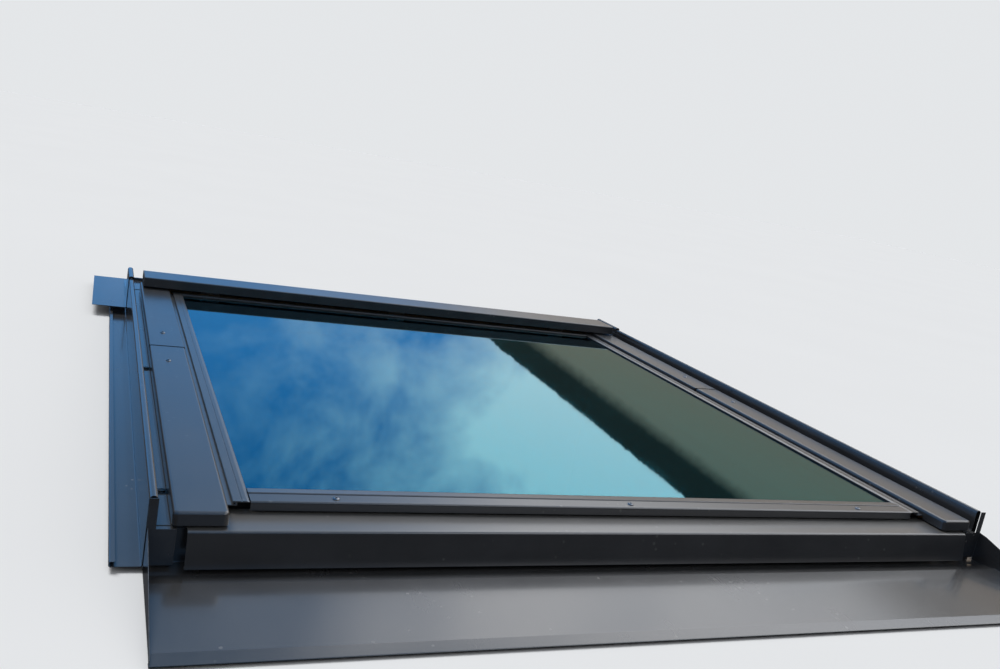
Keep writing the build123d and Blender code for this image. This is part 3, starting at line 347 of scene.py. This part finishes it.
def add_bump(tree, shader, height, strength, distance, normal=None):
    """A small relief on a shader, over a rounded normal where there is one."""
    bump = add_node(tree, "ShaderNodeBump", {"Strength": strength, "Distance": distance})
    join(tree, height, bump.inputs["Height"])
    if normal is not None:
        join(tree, normal, bump.inputs["Normal"])
    join(tree, bump.outputs[0], shader.inputs["Normal"])


def toned(colour, factor):
    """A colour made darker or lighter by a factor."""
    return (*[part * factor for part in colour], 1.0)


def facing_out(tree):
    """1 on faces that look outwards, which gather dust and get a painted sheen for the sky's reflection,
    and 0 on upright ones.
    """
    normal = add_node(tree, "ShaderNodeTexCoord").outputs["Normal"]
    return remap(tree, split(tree, normal)["Z"], *outward_limits)


# Lacquered sheet
# The dust colour also paints a sheen on faces looking outwards.
dust_and_sheen_colour = (0.34, 0.33, 0.31, 1.0)
drop_colour = (0.42, 0.42, 0.41, 1.0)
worn_and_highlit_lacquer = (0.30, 0.31, 0.32, 1.0)
lacquer_darker = 0.82
lacquer_lighter = 1.16
film_on_lacquer = 0.06
drops_on_lacquer = 0.35
lacquer_film_roughness = 0.10
lacquer_grain_roughness = 0.05
lacquer_index = 1.8


def painted_sheet(name, colour, roughness, dust=0.5, drops=0.5, top_dust_and_sheen=0.09, gloss=0.2):
    """Satin lacquer on sheet aluminium, outdoors for some years."""
    material, tree, shader, position = start_material(name)
    film = place_group(tree, weather_film, position=position, dust=dust, drops=drops)
    grain = place_group(tree, fine_grain, position=position, size=1400.0)
    edge = place_group(tree, soft_edge, position=position, wear=0.4)
    darker, lighter = toned(colour, lacquer_darker), toned(colour, lacquer_lighter)
    lacquer = mix_colours(tree, grain["Tone"], darker, lighter)
    # Faces looking outwards get dust and a painted sheen: lighter tops that stand in for the sky's
    # reflection.
    top_dust_and_sheen_share = times(tree, facing_out(tree), top_dust_and_sheen)
    dust_and_sheen_share = plus(tree, times(tree, film["Film"], film_on_lacquer), top_dust_and_sheen_share)
    dusty = mix_colours(tree, dust_and_sheen_share, lacquer, dust_and_sheen_colour)
    spotted = mix_colours(tree, times(tree, film["Spots"], drops_on_lacquer), dusty, drop_colour)
    # The edge line is lightened for wear and as a painted highlight.
    worn_and_highlit = mix_colours(tree, edge["Worn_and_highlit"], spotted, worn_and_highlit_lacquer)
    join(tree, worn_and_highlit, shader.inputs["Base Color"])
    rough = plus(tree, times(tree, film["Film"], lacquer_film_roughness), roughness)
    rougher = plus(tree, rough, times(tree, grain["Tone"], lacquer_grain_roughness))
    join(tree, rougher, shader.inputs["Roughness"])
    add_bump(tree, shader, grain["Height"], strength=0.12, distance=0.0002, normal=edge["Normal"])
    set_inputs(shader, {"IOR": lacquer_index, "Coat Weight": 1.0, "Coat Roughness": gloss})
    return material


# Timber
pine_pale = (0.62, 0.40, 0.20, 1.0)
pine_dark = (0.46, 0.26, 0.11, 1.0)
streak_colour = (0.25, 0.12, 0.05, 1.0)
# Painted shade: a dark colour on the frame's outer faces behind the flashing.
painted_shade_colour = (0.022, 0.023, 0.025, 1.0)
painted_shade_lap = 0.004
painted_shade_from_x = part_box("frame_stile_right")[1].x - painted_shade_lap
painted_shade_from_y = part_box("frame_head")[1].y - painted_shade_lap
grain_stretch = 0.05
ring_share = 0.75
streak_share = 0.35
timber_roughness = (0.30, 0.42)


def outer_faces(tree, position):
    """1 on the outer faces of the frame, darkened as painted shade behind the flashing, and 0 elsewhere.
    """
    parts = split(tree, position)
    past_side = maths(tree, "GREATER_THAN", maths(tree, "ABSOLUTE", parts["X"]), painted_shade_from_x)
    past_end = maths(tree, "GREATER_THAN", maths(tree, "ABSOLUTE", parts["Y"]), painted_shade_from_y)
    return larger(tree, past_side, past_end)


def lacquered_timber(name, along):
    """Pine under clear lacquer, its grain along X or along Y."""
    material, tree, shader, position = start_material(name)
    factors = (grain_stretch, 1.0, 1.0) if along == "X" else (1.0, grain_stretch, 1.0)
    grain = place_group(tree, timber_grain, position=stretch(tree, position, factors))
    edge = place_group(tree, soft_edge, position=position, wear=0.0)
    ringed = mix_colours(tree, times(tree, grain["Rings"], ring_share), pine_pale, pine_dark)
    streaked = mix_colours(tree, times(tree, grain["Streaks"], streak_share), ringed, streak_colour)
    # Painted shade on the frame's outer faces behind the flashing.
    shaded_outer_faces = mix_colours(tree, outer_faces(tree, position), streaked, painted_shade_colour)
    join(tree, shaded_outer_faces, shader.inputs["Base Color"])
    join(tree, remap(tree, grain["Pores"], *tone_limits, *timber_roughness), shader.inputs["Roughness"])
    add_bump(tree, shader, grain["Pores"], strength=0.25, distance=0.0003, normal=edge["Normal"])
    set_inputs(shader, {"Coat Weight": 0.5, "Coat Roughness": 0.15})
    return material


# Glass and rubber
glass_tint = (0.13, 0.70, 0.82, 1.0)
glass_film = (0.36, 0.60, 0.64, 1.0)
film_on_glass = 0.12
glass_mark_limits = (0.2, 1.2)
glass_roughness = (0.012, 0.06)
rubber_dark = (0.010, 0.010, 0.011, 1.0)
rubber_pale = (0.019, 0.019, 0.020, 1.0)
dust_on_rubber = 0.12
rubber_roughness = (0.52, 0.66)


def window_glass(name):
    """Coated insulating glass with a thin film of dried rain."""
    material, tree, shader, position = start_material(name)
    film = place_group(tree, weather_film, position=position, dust=0.5, drops=0.6)
    tint = mix_colours(tree, times(tree, film["Film"], film_on_glass), glass_tint, glass_film)
    join(tree, tint, shader.inputs["Base Color"])
    marks = plus(tree, film["Film"], film["Spots"])
    join(tree, remap(tree, marks, *glass_mark_limits, *glass_roughness), shader.inputs["Roughness"])
    set_inputs(shader, {"Metallic": 0.4, "Transmission Weight": 1.0, "IOR": 1.52})
    return material


def soft_rubber(name):
    """Black sealing rubber, slightly greyed."""
    material, tree, shader, position = start_material(name)
    film = place_group(tree, weather_film, position=position, dust=0.7, drops=0.0)
    grain = place_group(tree, fine_grain, position=position, size=700.0)
    rubber = mix_colours(tree, grain["Tone"], rubber_dark, rubber_pale)
    dusty = mix_colours(tree, times(tree, film["Film"], dust_on_rubber), rubber, dust_and_sheen_colour)
    join(tree, dusty, shader.inputs["Base Color"])
    join(tree, remap(tree, grain["Tone"], 0.0, 1.0, *rubber_roughness), shader.inputs["Roughness"])
    add_bump(tree, shader, grain["Height"], strength=0.2, distance=0.0002)
    return material


# Plated and anodised metal
plating_darker = 0.78
plating_dirt = (0.22, 0.21, 0.20, 1.0)
worn_and_highlit_plating = (0.75, 0.75, 0.74, 1.0)
dirt_on_plating = 0.35
plating_grain_roughness = 0.14
plating_film_roughness = 0.2
anodised_dark = (0.52, 0.53, 0.54, 1.0)
anodised_pale = (0.68, 0.69, 0.70, 1.0)
worn_and_highlit_anodising = (0.80, 0.80, 0.80, 1.0)
anodised_roughness = (0.26, 0.36)
drawn_stretch = 0.02


def plated_steel(name, colour, roughness, spangle=0.5):
    """Zinc or nickel plated steel, with the faint patches of its plating."""
    material, tree, shader, position = start_material(name)
    film = place_group(tree, weather_film, position=position, dust=0.3, drops=0.2)
    grain = place_group(tree, fine_grain, position=position, size=520.0)
    edge = place_group(tree, soft_edge, position=position, wear=0.5)
    patch = times(tree, cells(tree, position, scale=160.0)["Color"], spangle)
    plating = mix_colours(tree, patch, toned(colour, 1.0), toned(colour, plating_darker))
    dirty = mix_colours(tree, times(tree, film["Film"], dirt_on_plating), plating, plating_dirt)
    # The edge line is lightened for wear and as a painted highlight.
    worn_and_highlit = mix_colours(tree, edge["Worn_and_highlit"], dirty, worn_and_highlit_plating)
    join(tree, worn_and_highlit, shader.inputs["Base Color"])
    rough = plus(tree, times(tree, grain["Tone"], plating_grain_roughness), roughness)
    rougher = plus(tree, rough, times(tree, film["Film"], plating_film_roughness))
    join(tree, rougher, shader.inputs["Roughness"])
    add_bump(tree, shader, grain["Height"], strength=0.15, distance=0.0002, normal=edge["Normal"])
    set_inputs(shader, {"Metallic": 1.0})
    return material


def anodised_bar(name):
    """Satin anodised aluminium, drawn along X."""
    material, tree, shader, position = start_material(name)
    drawn_out = stretch(tree, position, (drawn_stretch, 1.0, 1.0))
    lines = noise(tree, drawn_out, scale=1500.0, detail=3.0, roughness=0.6)
    edge = place_group(tree, soft_edge, position=position, wear=0.4)
    metal = mix_colours(tree, lines, anodised_dark, anodised_pale)
    # The edge line is lightened for wear and as a painted highlight.
    worn_and_highlit = mix_colours(tree, edge["Worn_and_highlit"], metal, worn_and_highlit_anodising)
    join(tree, worn_and_highlit, shader.inputs["Base Color"])
    join(tree, remap(tree, lines, *tone_limits, *anodised_roughness), shader.inputs["Roughness"])
    add_bump(tree, shader, lines, strength=0.1, distance=0.0001, normal=edge["Normal"])
    set_inputs(shader, {"Metallic": 1.0})
    return material


# Plastic and foam
plastic_dark = (0.032, 0.034, 0.038, 1.0)
plastic_pale = (0.045, 0.048, 0.053, 1.0)
dust_on_plastic = 0.25
plastic_roughness = (0.44, 0.56)
foam_dark = (0.02, 0.02, 0.022, 1.0)
foam_pale = (0.16, 0.16, 0.17, 1.0)
pore_limits = (0.0, 0.6)
foam_roughness = (0.95, 0.8)


def moulded_plastic(name):
    """Dark grained plastic of the end caps."""
    material, tree, shader, position = start_material(name)
    film = place_group(tree, weather_film, position=position, dust=0.5, drops=0.3)
    grain = place_group(tree, fine_grain, position=position, size=1100.0)
    edge = place_group(tree, soft_edge, position=position, wear=0.15)
    plastic = mix_colours(tree, grain["Tone"], plastic_dark, plastic_pale)
    dusty = mix_colours(tree, times(tree, film["Film"], dust_on_plastic), plastic, dust_and_sheen_colour)
    join(tree, dusty, shader.inputs["Base Color"])
    join(tree, remap(tree, grain["Tone"], 0.0, 1.0, *plastic_roughness), shader.inputs["Roughness"])
    add_bump(tree, shader, grain["Height"], strength=0.3, distance=0.0002, normal=edge["Normal"])
    return material


def open_foam(name):
    """Grey open-pored foam of the vent filter."""
    material, tree, shader, position = start_material(name)
    pores = cells(tree, position, scale=620.0)["Distance"]
    join(tree, mix_colours(tree, pores, foam_dark, foam_pale), shader.inputs["Base Color"])
    join(tree, remap(tree, pores, *pore_limits, *foam_roughness), shader.inputs["Roughness"])
    add_bump(tree, shader, pores, strength=0.8, distance=0.0006)
    return material


# Finishes: one for each material slot of the record, two nodes with their own, and the timber
cover_grey = (0.026, 0.028, 0.033)
profile_grey = (0.040, 0.043, 0.049)
flashing_grey = (0.028, 0.030, 0.035)
finishes = {
    "pane_glass": window_glass("coated_glass"),
    "spacer_metal": plated_steel("spacer_aluminium", (0.16, 0.17, 0.18), roughness=0.45, spangle=0.1),
    "black_rubber": soft_rubber("sealing_rubber"),
    "profile_paint": painted_sheet("profile_lacquer", profile_grey, roughness=0.30, dust=0.6),
    "cover_paint": painted_sheet("cover_lacquer", cover_grey, roughness=0.30),
    "flashing_paint": painted_sheet(
        "flashing_lacquer", flashing_grey, roughness=0.20, dust=0.6, drops=0.7, gloss=0.12
    ),
    "cap_plastic": moulded_plastic("cap_plastic"),
    "zinc_plate": plated_steel("zinc_plated_sheet", (0.55, 0.56, 0.57), roughness=0.38),
    "hinge_steel": plated_steel("hinge_plate", (0.44, 0.44, 0.43), roughness=0.34, spangle=0.3),
    "screw_steel": plated_steel("screw_steel", (0.60, 0.60, 0.59), roughness=0.28, spangle=0.2),
    "cover_screw": plated_steel("cover_screw_head", (0.46, 0.47, 0.49), roughness=0.26, spangle=0.1),
    "lock_metal": plated_steel("nickel_plate", (0.55, 0.54, 0.52), roughness=0.22, spangle=0.1),
    "bar_metal": anodised_bar("anodised_bar"),
    "filter_foam": open_foam("filter_foam"),
}
own_finishes = {
    "gutter_clips": plated_steel("clip_steel", (0.13, 0.125, 0.12), roughness=0.42, spangle=0.3),
    # Its top gets more dust and more painted sheen than the other covers.
    "bottom_frame_cover": painted_sheet("low_cover_dust_and_sheen_lacquer", cover_grey, roughness=0.30, top_dust_and_sheen=0.30),
}
timber_finishes = {along: lacquered_timber("pine_along_" + along.lower(), along) for along in "XY"}


def finish_of(node, slot):
    """The finish of a node: its own, or that of its slot, or timber with its grain along the node."""
    if node in own_finishes:
        return own_finishes[node]
    if slot in finishes:
        return finishes[slot]
    low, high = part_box(node)
    return timber_finishes["X" if (high - low).x > (high - low).y else "Y"]


def dress_nodes():
    """Each CAD node gets its finish."""
    for entry in frame["record"]["subparts"]:
        finish = finish_of(entry["node"], entry["material_slot"])
        piece = nodes[entry["node"]]
        if not piece.material_slots:
            piece.data.materials.append(finish)
        for place in piece.material_slots:
            place.material = finish


dress_nodes()


# Cover screws: a flat dome with a rim, a cross recess and a threaded shank
screw_head_radius = 0.004
screw_head_height = 0.0018
screw_dome_share = 0.65
screw_dome_steps = 8
screw_rim_share = 0.12
screw_rim_break = 0.0002
screw_shank_radius = 0.002
screw_tip_length = 0.0004
screw_steps_round = 32
recess_length = 0.0046
recess_width = 0.0011
recess_depth = 0.0012
recess_taper = 0.55
recess_flare = 0.2
recess_raise = 0.15
thread_pitch = 0.0008
thread_depth = 0.0003
thread_crest = 0.3
thread_root = 0.8
first_screw_turn = 0.45
next_screw_turn = 0.7


def loose_boxes(node):
    """The low and high corners of each separate solid of a CAD node, from left to right."""
    mesh = bmesh.new()
    mesh.from_mesh(nodes[node].data)
    waiting = set(mesh.verts)
    boxes = []
    while waiting:
        solid = [waiting.pop()]
        for vertex in solid:
            for edge in vertex.link_edges:
                other = edge.other_vert(vertex)
                if other in waiting:
                    waiting.remove(other)
                    solid.append(other)
        low = Vector([min(vertex.co[axis] for vertex in solid) for axis in range(3)])
        high = Vector([max(vertex.co[axis] for vertex in solid) for axis in range(3)])
        boxes.append((low, high))
    mesh.free()
    return sorted(boxes, key=lambda box: tuple(box[0]))


def turned_mesh(name, profile, steps):
    """A mesh turned about Z from a profile of radius and height."""
    shape = bmesh.new()
    points = [shape.verts.new((radius, 0, height)) for radius, height in profile]
    edges = [shape.edges.new(pair) for pair in zip(points, points[1:])]
    bmesh.ops.spin(
        shape, geom=points + edges, axis=(0, 0, 1), cent=(0, 0, 0), steps=steps, angle=2 * math.pi
    )
    bmesh.ops.remove_doubles(shape, verts=shape.verts, dist=1e-6)
    bmesh.ops.recalc_face_normals(shape, faces=shape.faces)
    return mesh_of(shape, name)


def cross_cutter():
    """Two crossed bars that narrow downwards, for cutting a drive recess."""
    shape = bmesh.new()
    for turn in (0, math.pi / 2):
        bar = bmesh.ops.create_cube(shape, size=1)["verts"]
        for vertex in bar:
            taper = 1.0 if vertex.co.z > 0 else recess_taper
            vertex.co.x *= recess_length * taper
            vertex.co.y *= recess_width * (taper + recess_flare)
            vertex.co.z = recess_depth if vertex.co.z > 0 else -recess_depth
        bmesh.ops.rotate(shape, verts=bar, cent=(0, 0, 0), matrix=Matrix.Rotation(turn, 3, "Z"))
    return mesh_of(shape, "cross_cutter")


def screw_profile(shank):
    """Radius and height down a cover screw: dome, rim, thread and tip."""
    height, radius = screw_head_height, screw_head_radius
    core = screw_shank_radius - thread_depth
    dome = [(0, height)]
    for step in range(1, screw_dome_steps + 1):
        turn = math.pi / 2 * step / screw_dome_steps
        share = 1 - screw_dome_share + screw_dome_share * math.cos(turn)
        dome.append((radius * math.sin(turn), height * share))
    rim = [(radius, height * screw_rim_share), (radius - screw_rim_break, 0), (screw_shank_radius, 0)]
    thread = []
    for step in range(max(1, int(shank / thread_pitch) - 1)):
        thread.append((screw_shank_radius, -thread_pitch * (step + thread_crest)))
        thread.append((core, -thread_pitch * (step + thread_root)))
    tip = [(core, -shank + screw_tip_length), (0, -shank)]
    return dome + rim + thread + tip


def screw_mesh(shank):
    """One cover screw, its head on the XY plane and its shank pointing down."""
    turned = turned_mesh("cover_screw", screw_profile(shank), screw_steps_round)
    piece = new_object("cover_screw", turned)
    cutter = new_object("cross_cutter", cross_cutter())
    cutter.location.z = screw_head_height + recess_depth * recess_raise
    cut = piece.modifiers.new("recess", "BOOLEAN")
    cut.operation = "DIFFERENCE"
    cut.solver = "MANIFOLD"
    cut.object = cutter
    finished = bpy.data.meshes.new_from_object(piece.evaluated_get(bpy.context.evaluated_depsgraph_get()))
    for thing in (piece, cutter):
        bpy.data.objects.remove(thing)
    return finished


def set_cover_screws(node, body):
    """Detailed screws in place of the plain ones of a node, each turned its own way."""
    shape = bmesh.new()
    for place, (low, high) in enumerate(loose_boxes(node)):
        one = screw_mesh((high - low).z - screw_head_height)
        centre = (low + high) / 2
        turn = Matrix.Rotation(first_screw_turn + next_screw_turn * place, 4, "Z")
        one.transform(Matrix.Translation((centre.x, centre.y, high.z - screw_head_height)) @ turn)
        shape.from_mesh(one)
    mesh = mesh_of(shape, node + "_detail")
    mesh.materials.append(finishes["cover_screw"])
    piece = new_object(node + "_detail", mesh)
    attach(piece, body)
    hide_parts(node)


set_cover_screws("upper_cover_screws", "frame")
set_cover_screws("sash_cover_screws", "sash")


# Kinds of ray, which the stage and the surround tell apart
def mirrored_rays(tree):
    """1 for rays that gloss has turned on their way, and 0 for the others."""
    rays = add_node(tree, "ShaderNodeLightPath").outputs
    return maths(tree, "GREATER_THAN", rays["Glossy Depth"], 0.5)


def seen_rays(tree):
    """1 for rays from the eye, also where they go straight on through glass."""
    rays = add_node(tree, "ShaderNodeLightPath").outputs
    straight = times(tree, rays["Is Transmission Ray"], opposite(tree, mirrored_rays(tree)))
    return larger(tree, rays["Is Camera Ray"], straight)


def gloss_rays(tree):
    """1 for rays mirrored in gloss, also between the panes."""
    rays = add_node(tree, "ShaderNodeLightPath").outputs
    between = times(tree, rays["Is Transmission Ray"], mirrored_rays(tree))
    return larger(tree, rays["Is Glossy Ray"], between)


def seen_from_behind(tree):
    """1 for rays from the eye that meet the stage on the side turned away from the window."""
    rays = add_node(tree, "ShaderNodeLightPath").outputs
    inner = add_node(tree, "ShaderNodeNewGeometry").outputs["Backfacing"]
    return times(tree, rays["Is Camera Ray"], opposite(tree, inner))


# Stage: a pale floor in the window's base plane, with a dark well behind the opening
floor_reach = 14.0
floor_darker = (0.84, 0.85, 0.86, 1.0)
floor_lighter = (0.87, 0.88, 0.89, 1.0)
floor_to_other_rays = (0.06, 0.063, 0.07, 1.0)
well_half = Vector((0.572, 0.591))
well_depth = 0.75
well_darker = (0.010, 0.012, 0.012, 1.0)
well_lighter = (0.016, 0.018, 0.018, 1.0)
stage_roughness = 0.9


def pale_floor_material():
    """A pale, even floor to the eye that throws little light back on the window, clear from behind."""
    material, tree, shader, position = start_material("pale_floor")
    tone = mix_colours(tree, noise(tree, position, scale=1.5, detail=3.0), floor_darker, floor_lighter)
    join(tree, tone, shader.inputs["Base Color"])
    set_inputs(shader, {"Roughness": stage_roughness, "Specular IOR Level": 0.0})
    dark = add_node(tree, "ShaderNodeBsdfDiffuse", {"Color": floor_to_other_rays})
    clear = add_node(tree, "ShaderNodeBsdfTransparent")
    floor = mix_shaders(tree, seen_rays(tree), dark.outputs[0], shader.outputs[0])
    whole = mix_shaders(tree, seen_from_behind(tree), floor, clear.outputs[0])
    join(tree, whole, tree.nodes["Material Output"].inputs["Surface"])
    return material


def dark_well_material():
    """Dark behind the glass and through the open window, as painted shade for the unlit room; clear from
    behind and to the light coming in.
    """
    material, tree, shader, position = start_material("dark_well")
    tone = mix_colours(tree, noise(tree, position, scale=3.0), well_darker, well_lighter)
    join(tree, tone, shader.inputs["Base Color"])
    set_inputs(shader, {"Roughness": stage_roughness})
    clear = add_node(tree, "ShaderNodeBsdfTransparent")
    rays = add_node(tree, "ShaderNodeLightPath").outputs
    lighting = larger(tree, rays["Is Diffuse Ray"], rays["Is Shadow Ray"])
    open_to = larger(tree, lighting, seen_from_behind(tree))
    whole = mix_shaders(tree, open_to, shader.outputs[0], clear.outputs[0])
    join(tree, whole, tree.nodes["Material Output"].inputs["Surface"])
    return material


def stage_piece(name, points, faces, material):
    """A part of the stage, made from points and faces."""
    mesh = bpy.data.meshes.new(name)
    mesh.from_pydata(points, [], faces)
    mesh.materials.append(material)
    return new_object(name, mesh)


def make_stage():
    """The floor with its opening, and the well behind it."""
    x, y, far = well_half.x, well_half.y, floor_reach
    rim = [(-x, -y, 0), (x, -y, 0), (x, y, 0), (-x, y, 0)]
    border = [(-far, -far, 0), (far, -far, 0), (far, far, 0), (-far, far, 0)]
    ring = [(place, (place + 1) % 4, 4 + (place + 1) % 4, 4 + place) for place in range(4)]
    floor = stage_piece("floor", rim + border, ring, pale_floor_material())
    bottom = [(px, py, -well_depth) for px, py, pz in rim]
    walls = [(place, 4 + place, 4 + (place + 1) % 4, (place + 1) % 4) for place in range(4)]
    well = stage_piece("well", rim + bottom, walls + [(4, 7, 6, 5)], dark_well_material())


make_stage()


# Light: a wide soft sun from outside and from the head's side
sun_from = Vector((-0.30, 0.62, 1.0))
sun_strength = 2.1
sun_angle = 28.0


def make_sun():
    """A sun lamp wide enough for soft shadows, whose disc no pane mirrors or lets through."""
    data = bpy.data.lights.new("soft_sun", "SUN")
    data.energy = sun_strength
    data.angle = math.radians(sun_angle)
    lamp = new_object("soft_sun", data)
    lamp.rotation_mode = "QUATERNION"
    lamp.rotation_quaternion = (-sun_from).to_track_quat("-Z", "Y")
    lamp.visible_glossy = False
    lamp.visible_transmission = False


make_sun()


# Surround: pale to the eye and even in diffuse light, with colours of its own in gloss
surround_pale = (0.776, 0.794, 0.812, 1.0)
surround_even = (0.95, 0.97, 1.0, 1.0)
even_strength = 0.38
gloss_low_blue = (0.07, 0.29, 0.66, 1.0)
gloss_high_blue = (0.035, 0.17, 0.38, 1.0)
gloss_pale = (0.95, 0.98, 1.02, 1.0)
gloss_bright = (1.70, 1.72, 1.78, 1.0)
gloss_dim = (0.27, 0.22, 0.17, 1.0)
gloss_dark = (0.024, 0.030, 0.028, 1.0)
gloss_behind = (0.014, 0.015, 0.017, 1.0)
blue_heights = (0.18, 0.42)
pale_heights = (0.36, 0.62)
haze_heights = (0.92, 0.70)
haze_bearings = (0.28, 0.49)
patch_seed = 11.7
patch_limits = (0.36, 0.64)
patch_bearings = (0.08, 0.40)
patch_strengths = (0.12, 0.42)
dim_edge = (-0.5064, 0.0306, 0.8618)
dim_edge_blur = 0.0008
dark_edge = (-0.4622, 0.0349, 0.8861)
dark_edge_blur = 0.007
edge_raggedness = 0.0012
ahead_limits = (-0.30, -0.02)
overhead_limits = (0.25, 0.45)


def above_plane(tree, direction, edge, ragged, blur):
    """1 where a direction is above the plane of an edge, 0 below it, with a ragged boundary."""
    return remap(tree, plus(tree, agreement(tree, direction, edge), ragged), -blur, blur)


def upper_gloss(tree, direction, bearing, height):
    """Blue with soft pale patches, more of them to the right."""
    patches = add_node(
        tree, "ShaderNodeTexNoise",
        {"W": patch_seed, "Scale": 8.0, "Detail": 6.0, "Roughness": 0.56, "Distortion": 0.3},
        noise_dimensions="4D",
    )
    join(tree, direction, patches.inputs["Vector"])
    soft = remap(tree, patches.outputs["Fac"], *patch_limits, -1.0, 1.0)
    puffs = times(tree, soft, remap(tree, bearing, *patch_bearings, *patch_strengths))
    haze = times(tree, remap(tree, bearing, *haze_bearings), remap(tree, height, *haze_heights))
    blue = mix_colours(tree, remap(tree, height, *blue_heights), gloss_low_blue, gloss_high_blue)
    pale = mix_colours(tree, remap(tree, height, *pale_heights), gloss_pale, gloss_bright)
    return mix_colours(tree, plus(tree, haze, puffs, clamp=True), blue, pale)


def gloss_colours(tree, direction):
    """What gloss mirrors: soft patches above, one dim side with a dark band, and dark low behind."""
    parts = split(tree, direction)
    bearing = maths(tree, "ARCTAN2", parts["X"], maths(tree, "ABSOLUTE", parts["Y"]))
    upper = upper_gloss(tree, direction, bearing, parts["Z"])
    grain = noise(tree, direction, scale=170.0, detail=3.0, roughness=0.6)
    ragged = remap(tree, grain, *tone_limits, -edge_raggedness, edge_raggedness)
    above_band = above_plane(tree, direction, dark_edge, ragged, dark_edge_blur)
    lower = mix_colours(tree, above_band, gloss_dim, gloss_dark)
    above_dim = above_plane(tree, direction, dim_edge, ragged, dim_edge_blur)
    both = mix_colours(tree, above_dim, lower, upper)
    ahead = remap(tree, parts["Y"], *ahead_limits)
    kept = larger(tree, ahead, remap(tree, parts["Z"], *overhead_limits))
    return mix_colours(tree, kept, gloss_behind, both)


def make_surround():
    """The world round the window, with one background for each kind of ray."""
    world = bpy.data.worlds.new("surround")
    bpy.context.scene.world = world
    world.use_nodes = True
    tree = world.node_tree
    direction = add_node(tree, "ShaderNodeTexCoord").outputs["Generated"]
    pale = add_node(tree, "ShaderNodeBackground", {"Color": surround_pale, "Strength": 1.0})
    even = add_node(tree, "ShaderNodeBackground", {"Color": surround_even, "Strength": even_strength})
    gloss = add_node(tree, "ShaderNodeBackground", {"Strength": 1.0})
    join(tree, gloss_colours(tree, direction), gloss.inputs["Color"])
    light = mix_shaders(tree, gloss_rays(tree), even.outputs[0], gloss.outputs[0])
    whole = mix_shaders(tree, seen_rays(tree), light, pale.outputs[0])
    join(tree, whole, tree.nodes["World Output"].inputs["Surface"])


make_surround()

bpy.context.scene.view_settings.view_transform = "Standard"
